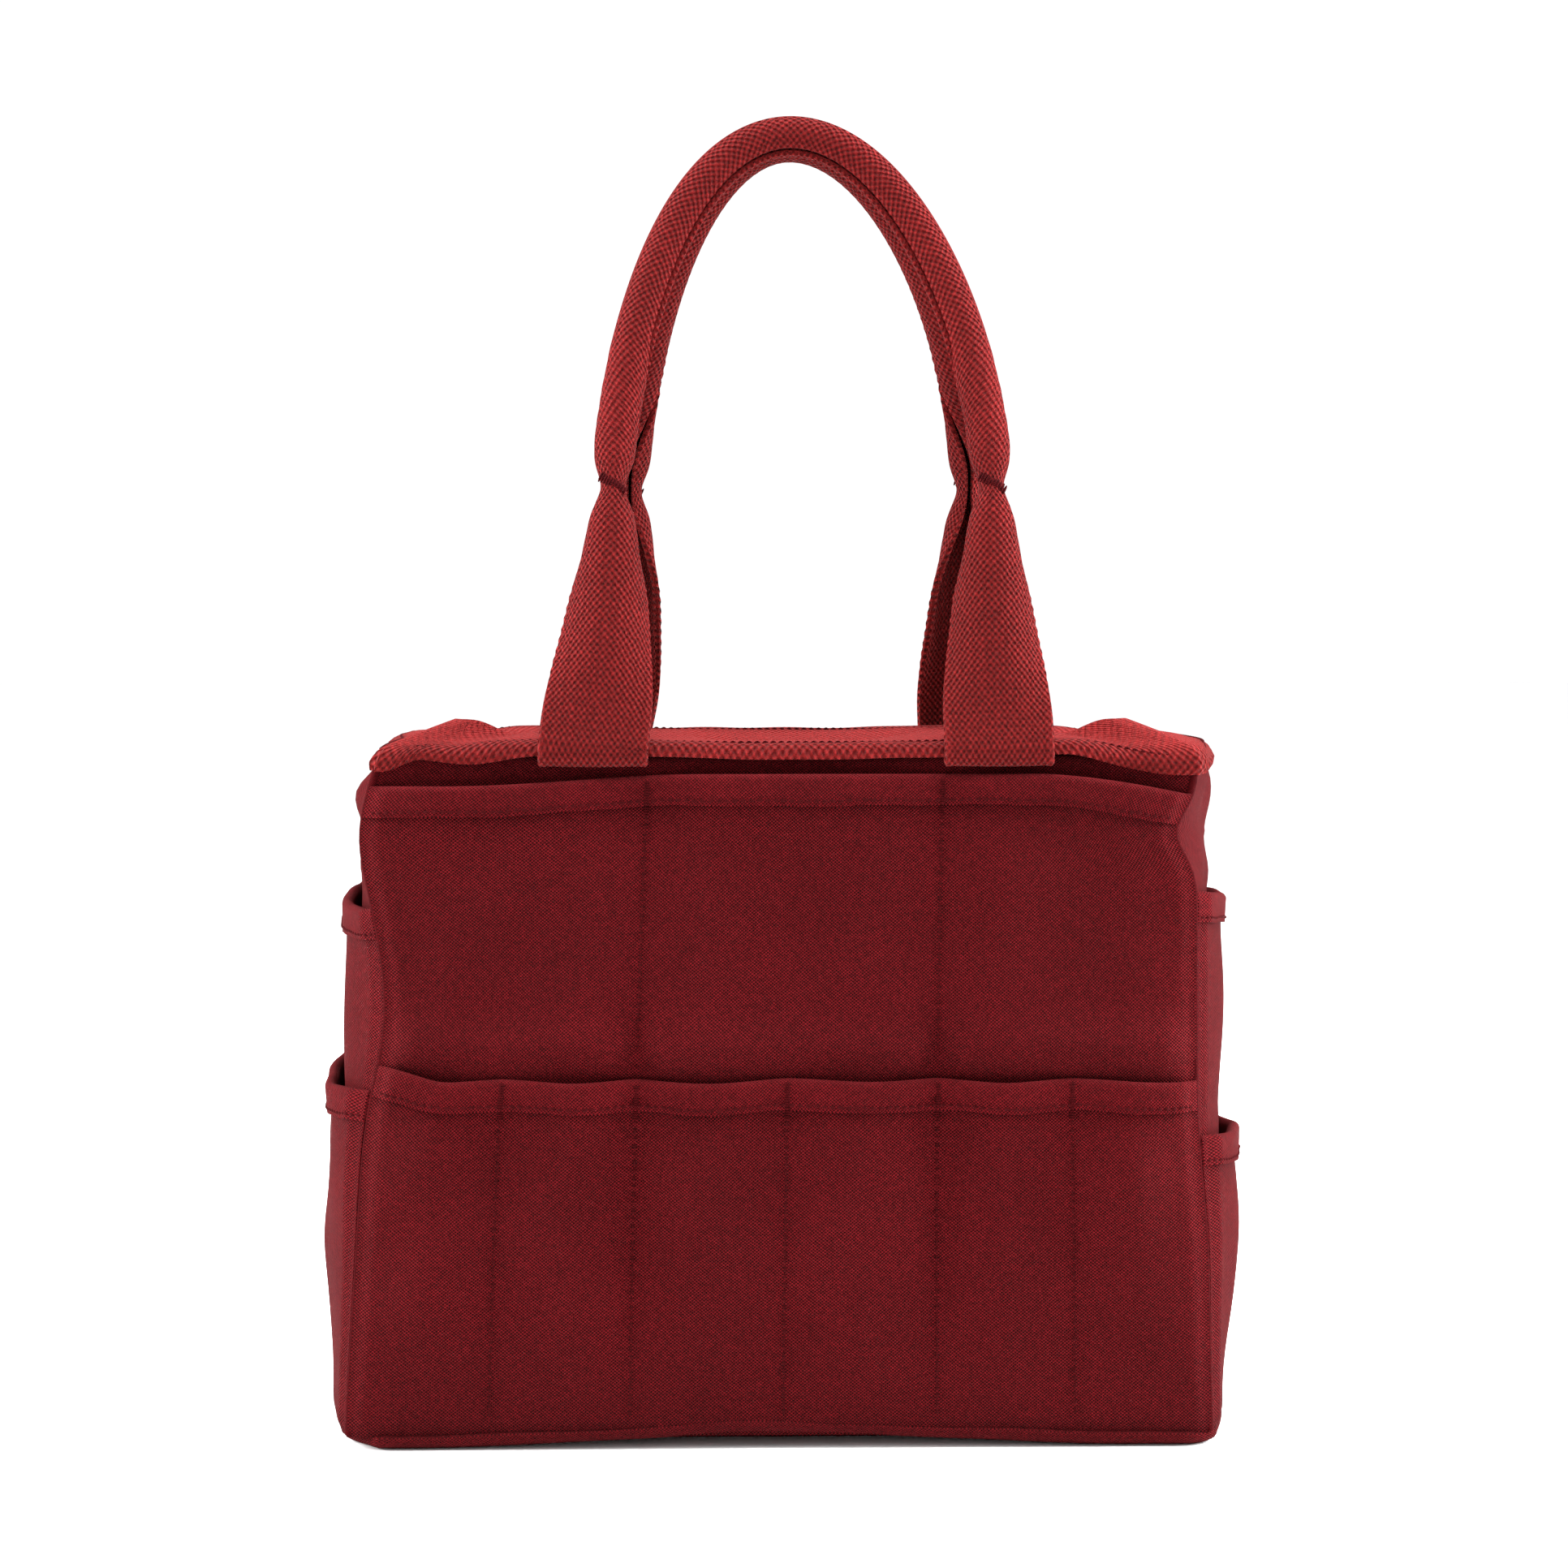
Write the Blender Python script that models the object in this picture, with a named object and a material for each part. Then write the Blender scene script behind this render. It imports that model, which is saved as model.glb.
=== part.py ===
"""A canvas garden tool bag: walls, two tiers of pockets, a webbing rim band and two swinging webbing handles.

The bag stands on z = 0 with its front towards -Y. Every piece of cloth is a closed sheet between two offsets of the
same wall, so a change of the walls carries the pockets, the bindings, the stitching and the handles with it.
Sizes are in metres.
"""

import math

import bmesh
import bpy
from mathutils import Vector

# Walls: outer faces of the front, back and end panels
BASE_WIDTH = 0.298
TOP_WIDTH = 0.284
BASE_DEPTH = 0.156
TOP_DEPTH = 0.142
WALL_HEIGHT = 0.240          # where the walls end and the collar starts to lean inwards
TOP_SHIFT = 0.0045           # the soft mouth stands this far to the right of the base
END_BULGE_BASE = 0.013       # how far the middle of an end panel stands out, at the floor and at the top
END_BULGE_MIDDLE = 0.006     # and halfway up

# Collar: the leaning top of the walls, as (rise, inset) at a corner, mid front and mid end
COLLAR_CORNER = (0.018, 0.018)
COLLAR_FRONT = (0.009, 0.024)
COLLAR_END = (0.014, 0.020)

# Cloth
CANVAS = 0.0012
BINDING_CLOTH = 0.0008
WEBBING = 0.0022
GAP = 0.0003                 # left between pieces that touch

# Sole
SOLE_HEIGHT = 0.0077
SOLE_FLOOR = 0.0015
SOLE_RIM = 0.0075            # width of the thick seamed edge
SOLE_OVERHANG = 0.0035       # beyond the walls' outer face
SOLE_CORNER = 0.012
SOLE_EDGE = 0.003

# Pockets
SEWN_OFF = 0.0004            # a pocket panel's distance from what is behind it, at its foot
MOUTH_OFF = 0.0015           # and at its mouth, where the binding's inner leg goes between
POCKET_EASE = 0.0065         # extra room in the middle of a front or back pocket
END_EASE = 0.0060            # and of an end pocket
EASE_HEIGHT = 0.060          # height over which the ease grows from nothing
SEAM_FLAT = 0.0016           # half width of the flat strip along a division seam
DIVISION_FLANK = 0.009       # width over which a pocket rises from that strip
BINDING_DEPTH = 0.010
FRONT_UPPER_TOP = WALL_HEIGHT - 0.0095
FRONT_LOWER_TOP = 0.1270
UPPER_DIVISIONS = (-0.052, 0.052)
LOWER_DIVISIONS = (-0.099, -0.052, 0.0, 0.052, 0.099)
END_UPPER_TOP = 0.188
LEFT_LOWER_TOP = 0.124
RIGHT_LOWER_TOP = 0.102
THREAD = 0.0005              # how far thread stands out of the cloth
THREAD_WIDTH = 0.0008
TACK_WIDTH = 0.0022
TACK_LENGTH = 0.016
STITCH_START = 0.012         # a division's seam starts this far above the sole or the lower pockets

# Rim band and handles
WEBBING_WIDTH = 0.038
BAND_LOWER_EDGE = WALL_HEIGHT - 0.002
TAB_SHARE = 0.75             # share of the collar that a handle's hidden tab covers
STRAP_SPACING = 0.140        # between the two straps' centre lines at the band
HINGE_HEIGHT = WALL_HEIGHT + WEBBING + 0.0008
HINGE_FORWARD = 0.005        # the soft bend's centre lies this far in front of the strap
HANDLE_REACH = 0.2267        # from the hinge to the grip's centre line, along the leaning handle
GRIP_START = 0.0965          # from the hinge to where the strap is fully rolled
GRIP_HALF_SPACING = 0.0655   # at the start of the rolled part
GRIP_DIAMETER = 0.014
GRIP_CLEARANCE = 0.002       # between the two grips where they lean together
ARCH_POWER = 0.87            # below 1 makes the arch's shoulders fuller than an ellipse's
WAIST_WIDTH = 0.0085
WAIST_DEPTH = 0.0112
WAIST_TACK = (0.0070, 0.0028, 0.0008)            # length, width and thickness
TACK_SLOPE = 0.8             # rise of the waist tack over its run
STRAP_CURVE = 1.6            # how soon the strap's edge curves in above the band
ROLL_POWER = 0.85            # below 1 narrows the strap sooner than it thickens
ROLL_HASTE = 1.05            # above 1 reaches the full thickness before the waist
FLAT_POWER = 0.28            # makes a flat strap's section a rounded rectangle

CANVAS_RED = (0.135, 0.0090, 0.0125, 1.0)
BINDING_RED = (0.145, 0.0095, 0.0130, 1.0)
WEBBING_RED = (0.215, 0.0185, 0.0185, 1.0)
THREAD_RED = (0.120, 0.0060, 0.0090, 1.0)

# Columns of an end panel and its pockets, as shares of the half depth
END_COLUMNS = (-1.0, -0.88, -0.76, -0.5, -0.25, 0.0, 0.25, 0.5, 0.76, 0.88, 1.0)

# What follows from them
FRONT, BACK = -1, 1
LEFT, RIGHT = -1, 1
BAND_OFF = WEBBING + 2 * GAP                     # the band's inner face, with a handle tab under it
STRAP_OFF = BAND_OFF + WEBBING + GAP             # the strap's inner face, in front of the band
STRAP_MIDDLE = STRAP_OFF + WEBBING / 2


def blend(a, b, share):
    return a + (b - a) * share


def smooth(share):
    share = min(max(share, 0.0), 1.0)
    return share * share * (3 - 2 * share)


def spaced(start, end, count):
    return [blend(start, end, i / (count - 1)) for i in range(count)]


# ---------------------------------------------------------------- walls


def half_width(z):
    return blend(BASE_WIDTH, TOP_WIDTH, z / WALL_HEIGHT) / 2


def half_depth(z):
    return blend(BASE_DEPTH, TOP_DEPTH, z / WALL_HEIGHT) / 2


def shift(z):
    """How far the bag's middle has moved to the right at a height: nothing at the floor, most at the top."""
    return TOP_SHIFT * (z / WALL_HEIGHT) ** 2


def end_bulge(z, across):
    """How far an end panel stands out, at a height and at a share of its half depth."""
    up = 2 * min(z / WALL_HEIGHT, 1.0) - 1
    return blend(END_BULGE_MIDDLE, END_BULGE_BASE, up * up) * (1 - across * across)


def collar(across, middle):
    """The collar's rise and inset at a share of the half width: the middle's values reach past the straps."""
    past_straps = (STRAP_SPACING + WEBBING_WIDTH) / TOP_WIDTH
    share = smooth((1 - abs(across)) / (1 - past_straps))
    return tuple(blend(c, m, share) for c, m in zip(COLLAR_CORNER, middle))


def lean_offset(level, rise, inset, off):
    """An offset from the wall, as (outwards, upwards): level is 0 on the wall, 1 at its top edge, 2 at the rim."""
    angle = math.atan2(inset, rise)
    if level < 1:
        return off, 0.0
    if level == 1:
        return off, off * math.tan(angle / 2)
    return off * math.cos(angle), off * math.sin(angle)


def front_point(facing, across, z, off, up=0.0):
    """A point at an offset from the front or back wall; up is the share of the collar above the wall's top."""
    rise, inset = collar(across, COLLAR_FRONT)
    level = 0 if z < WALL_HEIGHT else 1 + up
    out, lift = lean_offset(level, rise, inset, off)
    x = across * (half_width(z) - COLLAR_CORNER[1] * up) + shift(z)
    y = half_depth(z) - inset * up + out
    return Vector((x, facing * y, z + rise * up + lift))


def end_point(side, across, z, off, up=0.0):
    """The same for the left or right end; the panel stops clear of the front and back walls' inner faces."""
    rise, inset = collar(across, COLLAR_END)
    level = 0 if z < WALL_HEIGHT else 1 + up
    out, lift = lean_offset(level, rise, inset, off)
    x = half_width(z) + end_bulge(z, across) - inset * up + out
    edge = front_point(FRONT, 1.0, z, -(CANVAS + GAP), up)
    height = edge.z + (rise - COLLAR_CORNER[0]) * up + lift
    return Vector((side * x + shift(z), -across * edge.y, height))


def strap_columns(side):
    """Shares of the half width at which a strap's columns stand on the band."""
    middle = side * STRAP_SPACING / 2
    edges = spaced(middle - WEBBING_WIDTH / 2, middle + WEBBING_WIDTH / 2, 4)
    return [x / half_width(WALL_HEIGHT) for x in edges]


def front_columns():
    """Columns that the wall, the band and the handle tabs share, so that their facets stay parallel."""
    left, right = strap_columns(LEFT), strap_columns(RIGHT)
    return [*spaced(-1.0, left[0], 6)[:-1], *left, 0.0, *right, *spaced(right[-1], 1.0, 6)[1:]]


# ---------------------------------------------------------------- making objects


def material(name, colour, roughness):
    made = bpy.data.materials.new(name)
    made.use_nodes = True
    shader = made.node_tree.nodes["Principled BSDF"]
    shader.inputs["Base Color"].default_value = colour
    shader.inputs["Roughness"].default_value = roughness
    shader.inputs["Metallic"].default_value = 0.0
    made.diffuse_color = colour
    return made


def finish(name, bm, look, origin=(0.0, 0.0, 0.0)):
    """Turn a bmesh in world coordinates into an object whose origin is at the given place."""
    bmesh.ops.recalc_face_normals(bm, faces=bm.faces)
    bmesh.ops.translate(bm, verts=bm.verts, vec=-Vector(origin))
    mesh = bpy.data.meshes.new(name)
    bm.to_mesh(mesh)
    bm.free()
    mesh.shade_smooth()
    mesh.set_sharp_from_angle(angle=math.radians(35))
    made = bpy.data.objects.new(name, mesh)
    made.location = origin
    colour, roughness = look
    mesh.materials.append(material(name, colour, roughness))
    bpy.context.collection.objects.link(made)
    return made


def add_sheet(bm, columns, rows, inner, outer):
    """A closed sheet: inner(c, r) and outer(c, r) give its two faces at each column and row."""
    layers = [[[bm.verts.new(face(c, r)) for r in rows] for c in columns] for face in (inner, outer)]
    last_c, last_r = len(columns) - 1, len(rows) - 1
    for layer in layers:
        for i in range(last_c):
            for j in range(last_r):
                bm.faces.new((layer[i][j], layer[i + 1][j], layer[i + 1][j + 1], layer[i][j + 1]))
    a, b = layers
    for i in range(last_c):
        for j in (0, last_r):
            bm.faces.new((a[i][j], a[i + 1][j], b[i + 1][j], b[i][j]))
    for j in range(last_r):
        for i in (0, last_c):
            bm.faces.new((a[i][j], a[i][j + 1], b[i][j + 1], b[i][j]))


def add_folded(bm, columns, section):
    """A folded strip: section(c) gives its outer and inner outline at a column, with as many points in each."""
    sections = {c: section(c) for c in columns}
    rows = range(len(sections[columns[0]][0]))
    add_sheet(bm, columns, rows, lambda c, r: sections[c][1][r], lambda c, r: sections[c][0][r])


def add_tube(bm, rings, closed=False):
    """A closed skin through rings of points; an open run gets end faces, a closed run joins up with itself."""
    made = [[bm.verts.new(p) for p in ring] for ring in rings]
    count = len(made[0])
    pairs = list(zip(made, made[1:])) + ([(made[-1], made[0])] if closed else [])
    for a, b in pairs:
        for i in range(count):
            j = (i + 1) % count
            bm.faces.new((a[i], a[j], b[j], b[i]))
    if not closed:
        bm.faces.new(made[0])
        bm.faces.new(made[-1])


CANVAS_LOOK = (CANVAS_RED, 0.9)
BINDING_LOOK = (BINDING_RED, 0.9)
WEBBING_LOOK = (WEBBING_RED, 0.85)
THREAD_LOOK = (THREAD_RED, 0.7)


# ---------------------------------------------------------------- body


def wall_rows():
    """(height, share of the collar) for each row of a wall."""
    low = SOLE_HEIGHT + GAP
    return [(z, 0.0) for z in spaced(low, WALL_HEIGHT, 6)] + [(WALL_HEIGHT, 1.0)]


def make_wall(name, point, columns):
    """A canvas wall whose outer face is at offset 0."""
    bm = bmesh.new()
    add_sheet(
        bm, columns, wall_rows(),
        lambda c, r: point(c, r[0], -CANVAS, r[1]),
        lambda c, r: point(c, r[0], 0.0, r[1]),
    )
    finish(name, bm, CANVAS_LOOK)


def sole_outline(beyond, corner):
    """The sole's outline at a distance beyond the walls: straight front and back, bulging ends, round corners."""
    width = half_width(0) + beyond
    depth = half_depth(0) + beyond
    quarter = [(blend(0.0, width - corner, i / 5), -depth) for i in range(5)]
    for i in range(5):
        turn = math.radians(90 * i / 4)
        quarter.append((width - corner * (1 - math.sin(turn)), -depth + corner * (1 - math.cos(turn))))
    end = depth - corner
    for i in range(1, 5):
        y = -end * (1 - i / 4)
        quarter.append((width + end_bulge(0, y / end), y))
    half = quarter + [(x, -y) for x, y in reversed(quarter[:-1])]
    return half + [(-x, y) for x, y in reversed(half[1:-1])]


def make_bottom():
    """A canvas tray: a thin floor inside a thick seamed edge that the walls stand on."""
    levels = [
        (SOLE_OVERHANG - SOLE_EDGE, 0.0),
        (SOLE_OVERHANG - SOLE_EDGE * 0.3, SOLE_EDGE * 0.3),
        (SOLE_OVERHANG, SOLE_EDGE),
        (SOLE_OVERHANG, SOLE_HEIGHT),
        (SOLE_OVERHANG - SOLE_RIM, SOLE_HEIGHT),
        (SOLE_OVERHANG - SOLE_RIM, SOLE_FLOOR),
    ]
    bm = bmesh.new()
    add_tube(bm, [[(x, y, z) for x, y in sole_outline(beyond, SOLE_CORNER)] for beyond, z in levels])
    finish("bottom_panel", bm, CANVAS_LOOK)


# ---------------------------------------------------------------- pockets


def division_half():
    """The half width that the divisions' places are measured in: they stand where the lower pockets' mouths are."""
    return half_width(FRONT_LOWER_TOP)


def front_fullness(across, divisions):
    """How full a pocket is across its panel: 0 along a seam or an edge, 1 past the flank beside it."""
    half = division_half()
    nearest = min(abs(across * half - seam) for seam in (-half, *divisions, half))
    return smooth((nearest - SEAM_FLAT) / DIVISION_FLANK)


def end_fullness(across):
    return smooth(half_depth(0) * (1 - abs(across)) / (2 * DIVISION_FLANK))


def panel_off(z, top, full, ease=POCKET_EASE):
    """A pocket panel's inner face above what is behind it."""
    base = blend(SEWN_OFF, MOUTH_OFF, smooth(z / top))
    return base + ease * full * smooth((z - SOLE_HEIGHT) / EASE_HEIGHT)


def front_upper_off(across, z):
    return panel_off(z, FRONT_UPPER_TOP, front_fullness(across, UPPER_DIVISIONS))


def front_lower_off(across, z):
    behind = front_upper_off(across, z) + CANVAS
    return behind + panel_off(z, FRONT_LOWER_TOP, front_fullness(across, LOWER_DIVISIONS))


def end_upper_off(across, z):
    return panel_off(z, END_UPPER_TOP, end_fullness(across), END_EASE)


def end_lower_off(top):
    def off(across, z):
        return end_upper_off(across, z) + CANVAS + panel_off(z, top, end_fullness(across), END_EASE)
    return off


def division_columns(divisions):
    """Columns that catch each pocket's flanks: beside every seam, halfway up its flank and where the flank ends."""
    half = division_half()
    seams = sorted((-half, *divisions, half))
    found = [-half]
    for a, b in zip(seams, seams[1:]):
        for away in (SEAM_FLAT, SEAM_FLAT + DIVISION_FLANK / 2, SEAM_FLAT + DIVISION_FLANK):
            found += [a + away, b - away]
    return [x / half for x in sorted((*found, half))]


def pocket_rows(top):
    """Row heights of a pocket panel: close together where its ease grows, then the binding's edge and the mouth."""
    low = SOLE_HEIGHT + GAP
    return [low, *spaced(low + EASE_HEIGHT / 3, SOLE_HEIGHT + EASE_HEIGHT, 3), top - BINDING_DEPTH, top]


def faceted(off, rows):
    """The same offset read on the straight facets between rows."""

    def flat(across, z):
        for a, b in zip(rows, rows[1:]):
            if z <= b:
                break
        return blend(off(across, a), off(across, b), (z - a) / (b - a))

    return flat


def make_pocket(name, point, columns, top, off):
    """A pocket panel from the sole up to just inside its binding."""
    bm = bmesh.new()
    add_sheet(
        bm, columns, pocket_rows(top),
        lambda c, z: point(c, z, off(c, z)),
        lambda c, z: point(c, z, off(c, z) + CANVAS),
    )
    finish(f"{name}_pocket", bm, CANVAS_LOOK)


def make_binding(name, point, columns, top, off):
    """A strip folded over the panel's top edge: an outer leg, a fold above the edge and an inner leg."""
    low, fold, high = top - BINDING_DEPTH, top + GAP, top + GAP + BINDING_CLOTH

    def section(c):
        def leg(z, away):
            """Inner and outer leg at a height, at a distance from the panel's two faces."""
            return point(c, z, off(c, min(z, top)) - away), point(c, z, off(c, min(z, top)) + CANVAS + away)

        far, near = GAP + BINDING_CLOTH, GAP
        outside = [leg(low, far)[0], leg(high, far)[0], leg(high, far)[1], leg(low, far)[1]]
        inside = [leg(low, near)[0], leg(fold, near)[0], leg(fold, near)[1], leg(low, near)[1]]
        return outside, inside

    bm = bmesh.new()
    add_folded(bm, columns, section)
    finish(f"{name}_binding", bm, BINDING_LOOK)


def make_stitching(name, point, x, top, off, low):
    """One division's seam: a run of thread on the cloth, widening into a dense tack over the binding."""
    binding_low = top - BINDING_DEPTH
    tack_low = binding_low - (TACK_LENGTH - BINDING_DEPTH) / 2
    over_binding = BINDING_CLOTH + GAP
    run = [low, *(z for z in pocket_rows(top) if low < z < tack_low), tack_low]
    rows = [(z, THREAD_WIDTH, 0.0) for z in run] + [
        (tack_low + GAP, TACK_WIDTH, 0.0),
        (binding_low - 2 * GAP, TACK_WIDTH, 0.0),
        (binding_low - GAP, TACK_WIDTH, over_binding),
        (top, TACK_WIDTH, over_binding),
    ]

    def place(c, row, extra):
        z, width, over = row
        away = off(x / division_half(), z) + CANVAS + over + GAP + extra
        return point((x + c * width / 2) / division_half(), z, away)

    bm = bmesh.new()
    add_sheet(bm, (-1, 1), rows, lambda c, row: place(c, row, 0.0), lambda c, row: place(c, row, THREAD))
    finish(name, bm, THREAD_LOOK)


def make_front_pockets(word, facing):
    def point(across, z, off):
        return front_point(facing, across, z, off)

    for tier, divisions, top, off, low in (
        ("upper", UPPER_DIVISIONS, FRONT_UPPER_TOP, front_upper_off, FRONT_LOWER_TOP + STITCH_START),
        ("lower", LOWER_DIVISIONS, FRONT_LOWER_TOP, front_lower_off, SOLE_HEIGHT + STITCH_START),
    ):
        columns = division_columns(divisions)
        make_pocket(f"{word}_{tier}", point, columns, top, off)
        make_binding(f"{word}_{tier}", point, columns, top, off)
        cloth = faceted(off, pocket_rows(top))
        for i, x in enumerate(divisions, 1):
            make_stitching(f"{word}_{tier}_stitching_{i}", point, x, top, cloth, low)


def make_end_pockets(word, side, lower_top):
    def point(across, z, off):
        return end_point(side, across, z, off)

    lower_off = end_lower_off(lower_top)
    for tier, top, off in (("upper", END_UPPER_TOP, end_upper_off), ("lower", lower_top, lower_off)):
        make_pocket(f"{word}_{tier}", point, END_COLUMNS, top, off)
        make_binding(f"{word}_{tier}", point, END_COLUMNS, top, off)


# ---------------------------------------------------------------- rim band and handles


def band_section(station):
    """The band's cross-section at one station, from its inner lower edge round to its outer lower edge."""
    inner, outer = BAND_OFF, BAND_OFF + WEBBING
    return [
        station(BAND_LOWER_EDGE, inner, 0.0),
        station(WALL_HEIGHT, inner, 0.0),
        station(WALL_HEIGHT, inner, 1.0),
        station(WALL_HEIGHT, outer, 1.0),
        station(WALL_HEIGHT, outer, 0.0),
        station(BAND_LOWER_EDGE, outer, 0.0),
    ]


def make_rim_band():
    """One loop of webbing over the collar, mitred at the four corners."""

    def along_front(facing, across):
        return band_section(lambda z, off, up: front_point(facing, across, z, off, up))

    def along_end(side, across):
        return band_section(lambda z, off, up: end_point(side, across, z, off, up))

    def corner(facing, side):
        def station(z, off, up):
            beside = end_point(side, 1.0, z, off, up)
            before = front_point(facing, side, z, off, up)
            return Vector((beside.x, before.y, before.z))
        return band_section(station)

    shares = front_columns()[1:-1]
    end_shares = END_COLUMNS[1:-1]
    rings = [along_front(FRONT, a) for a in shares] + [corner(FRONT, RIGHT)]
    rings += [along_end(RIGHT, a) for a in end_shares] + [corner(BACK, RIGHT)]
    rings += [along_front(BACK, -a) for a in shares] + [corner(BACK, LEFT)]
    rings += [along_end(LEFT, -a) for a in end_shares] + [corner(FRONT, LEFT)]
    bm = bmesh.new()
    add_tube(bm, rings, closed=True)
    finish("rim_band", bm, WEBBING_LOOK)


def hinge_place(facing):
    """The middle of a handle's soft bend."""
    y = half_depth(BAND_LOWER_EDGE) + STRAP_MIDDLE + HINGE_FORWARD
    return Vector((TOP_SHIFT, facing * y, HINGE_HEIGHT))


def make_handle_end(word, facing, side):
    """A strap's fixed end: a tab under the band, a fold round its lower edge and a short rise in front of it."""
    thick = WEBBING / 2
    fold_middle = (GAP + thick + STRAP_MIDDLE) / 2
    radius = (STRAP_MIDDLE - GAP - thick) / 2

    def section(across):
        x = across * half_width(WALL_HEIGHT) + TOP_SHIFT

        def tab(off):
            """The tab's end and its bend at the wall's top, at an offset from the wall."""
            bend, rim = (front_point(facing, across, WALL_HEIGHT, off, up) for up in (0.0, 1.0))
            return [bend.lerp(rim, TAB_SHARE), bend]

        def fold(distance):
            turns = [math.radians(180 * i / 6) for i in range(7)]
            wall = half_depth(BAND_LOWER_EDGE)
            return [
                Vector((
                    x,
                    facing * (wall + fold_middle - distance * math.cos(t)),
                    BAND_LOWER_EDGE - GAP - distance * math.sin(t),
                ))
                for t in turns
            ]

        def top(off):
            return Vector((x, facing * (half_depth(BAND_LOWER_EDGE) + off), HINGE_HEIGHT - GAP / 2))

        outside = tab(GAP) + fold(radius + thick) + [top(STRAP_OFF + WEBBING)]
        inside = tab(GAP + WEBBING) + fold(radius - thick) + [top(STRAP_OFF)]
        return outside, inside

    bm = bmesh.new()
    add_folded(bm, strap_columns(side), section)
    finish(f"{word}_handle_end", bm, WEBBING_LOOK)


def handle_lean():
    """How far a handle leans inwards at rest: until the two grips nearly touch over the middle of the bag."""
    strap_y = abs(hinge_place(FRONT).y) - HINGE_FORWARD
    return math.asin((strap_y - (GRIP_DIAMETER + GRIP_CLEARANCE) / 2) / HANDLE_REACH)


def handle_route():
    """Half of the handle in its own plane, as (x, height, width, thickness, roundness), from strap to grip top."""
    route = []
    for i in range(9):
        share = i / 8
        x = blend(GRIP_HALF_SPACING, STRAP_SPACING / 2, (1 - share) ** STRAP_CURVE)
        width = blend(WAIST_WIDTH, WEBBING_WIDTH, 1 - smooth(share) ** ROLL_POWER)
        thickness = blend(WEBBING, WAIST_DEPTH, smooth(share * ROLL_HASTE))
        route.append((x, share * GRIP_START, width, thickness, smooth(share)))
    rise = HANDLE_REACH - GRIP_START
    for i in range(1, 13):
        turn = math.radians(90 * i / 12)
        fat = smooth(i / 2)
        route.append((
            GRIP_HALF_SPACING * math.cos(turn),
            GRIP_START + rise * math.sin(turn) ** (1 / ARCH_POWER),
            blend(WAIST_WIDTH, GRIP_DIAMETER, fat),
            blend(WAIST_DEPTH, GRIP_DIAMETER, fat),
            1.0,
        ))
    return route


def handle_section(share_round, width, thickness, count=12):
    """A cross-section between a flat strap and a round grip, as (across, through) points."""
    points = []
    power = blend(FLAT_POWER, 1.0, share_round)
    for i in range(count):
        turn = 2 * math.pi * (i + 0.5) / count
        c, s = math.cos(turn), math.sin(turn)
        points.append((
            math.copysign(abs(c) ** power, c) * width / 2,
            math.copysign(abs(s) ** power, s) * thickness / 2,
        ))
    return points


def make_handle(word, facing):
    """A strap from the hinge up, rolled into a grip over the middle, and down again to the other side."""
    hinge = hinge_place(facing)
    lean = handle_lean()
    half = handle_route()
    route = [(-x, *rest) for x, *rest in half] + [tuple(r) for r in reversed(half[:-1])]
    strap_y = hinge.y - facing * HINGE_FORWARD

    def place(x, height, through):
        y = -height * math.sin(lean) + through * math.cos(lean)
        z = height * math.cos(lean) + through * math.sin(lean)
        return Vector((hinge.x + x, strap_y + facing * y, hinge.z + GAP / 2 + z))

    rings = []
    for i, (x, height, width, thickness, roundness) in enumerate(route):
        before, after = route[max(i - 1, 0)], route[min(i + 1, len(route) - 1)]
        along = Vector((after[0] - before[0], after[1] - before[1])).normalized()
        if i in (0, len(route) - 1):
            along = Vector((0.0, 1.0 if i == 0 else -1.0))
        ring = []
        for across, through in handle_section(roundness, width, thickness):
            if i in (0, len(route) - 1):
                ring.append(place(x + along.y * across, height - through * math.tan(lean), through))
            else:
                ring.append(place(x + along.y * across, height - along.x * across, through))
        rings.append(ring)
    bm = bmesh.new()
    add_tube(bm, rings)
    finish(f"{word}_handle", bm, WEBBING_LOOK, hinge)

    length, width, thickness = WAIST_TACK
    for side_word, side in (("left", LEFT), ("right", RIGHT)):
        corners = []
        for across, along in ((-length, -width), (length, -width), (length, width), (-length, width)):
            slope = side * TACK_SLOPE
            turned = (across + slope * along) / 2, (along - slope * across) / 2
            corners.append((side * GRIP_HALF_SPACING + turned[0], GRIP_START + turned[1]))
        face = WAIST_DEPTH / 2 + 2 * GAP
        tack = bmesh.new()
        add_tube(tack, [[place(x, h, t) for x, h in corners] for t in (face, face + thickness)])
        finish(f"{word}_{side_word}_handle_tack", tack, THREAD_LOOK, hinge)


# ---------------------------------------------------------------- the bag


def main():
    for old in list(bpy.data.objects):
        bpy.data.objects.remove(old, do_unlink=True)

    make_bottom()
    for word, facing in (("front", FRONT), ("back", BACK)):
        make_wall(f"{word}_panel", lambda c, z, off, up, f=facing: front_point(f, c, z, off, up), front_columns())
        make_front_pockets(word, facing)
        for side_word, side in (("left", LEFT), ("right", RIGHT)):
            make_handle_end(f"{word}_{side_word}", facing, side)
        make_handle(word, facing)
    for word, side, lower_top in (("left", LEFT, LEFT_LOWER_TOP), ("right", RIGHT, RIGHT_LOWER_TOP)):
        make_wall(f"{word}_gusset", lambda c, z, off, up, s=side: end_point(s, c, z, off, up), END_COLUMNS)
        make_end_pockets(word, side, lower_top)
    make_rim_band()


main()
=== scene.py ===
# %% [markdown]
# # A canvas garden tool bag
# The bag is a soft tote of heavy dark red canvas with two tiers of pockets all the way round, a band of
# coarse webbing over its rim and two webbing handles that are rolled into grips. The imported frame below
# already holds the plain solids and the joints, so this lesson only makes the cloth that is seen, in the
# same place.

# %% Load the frame
import math

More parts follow.
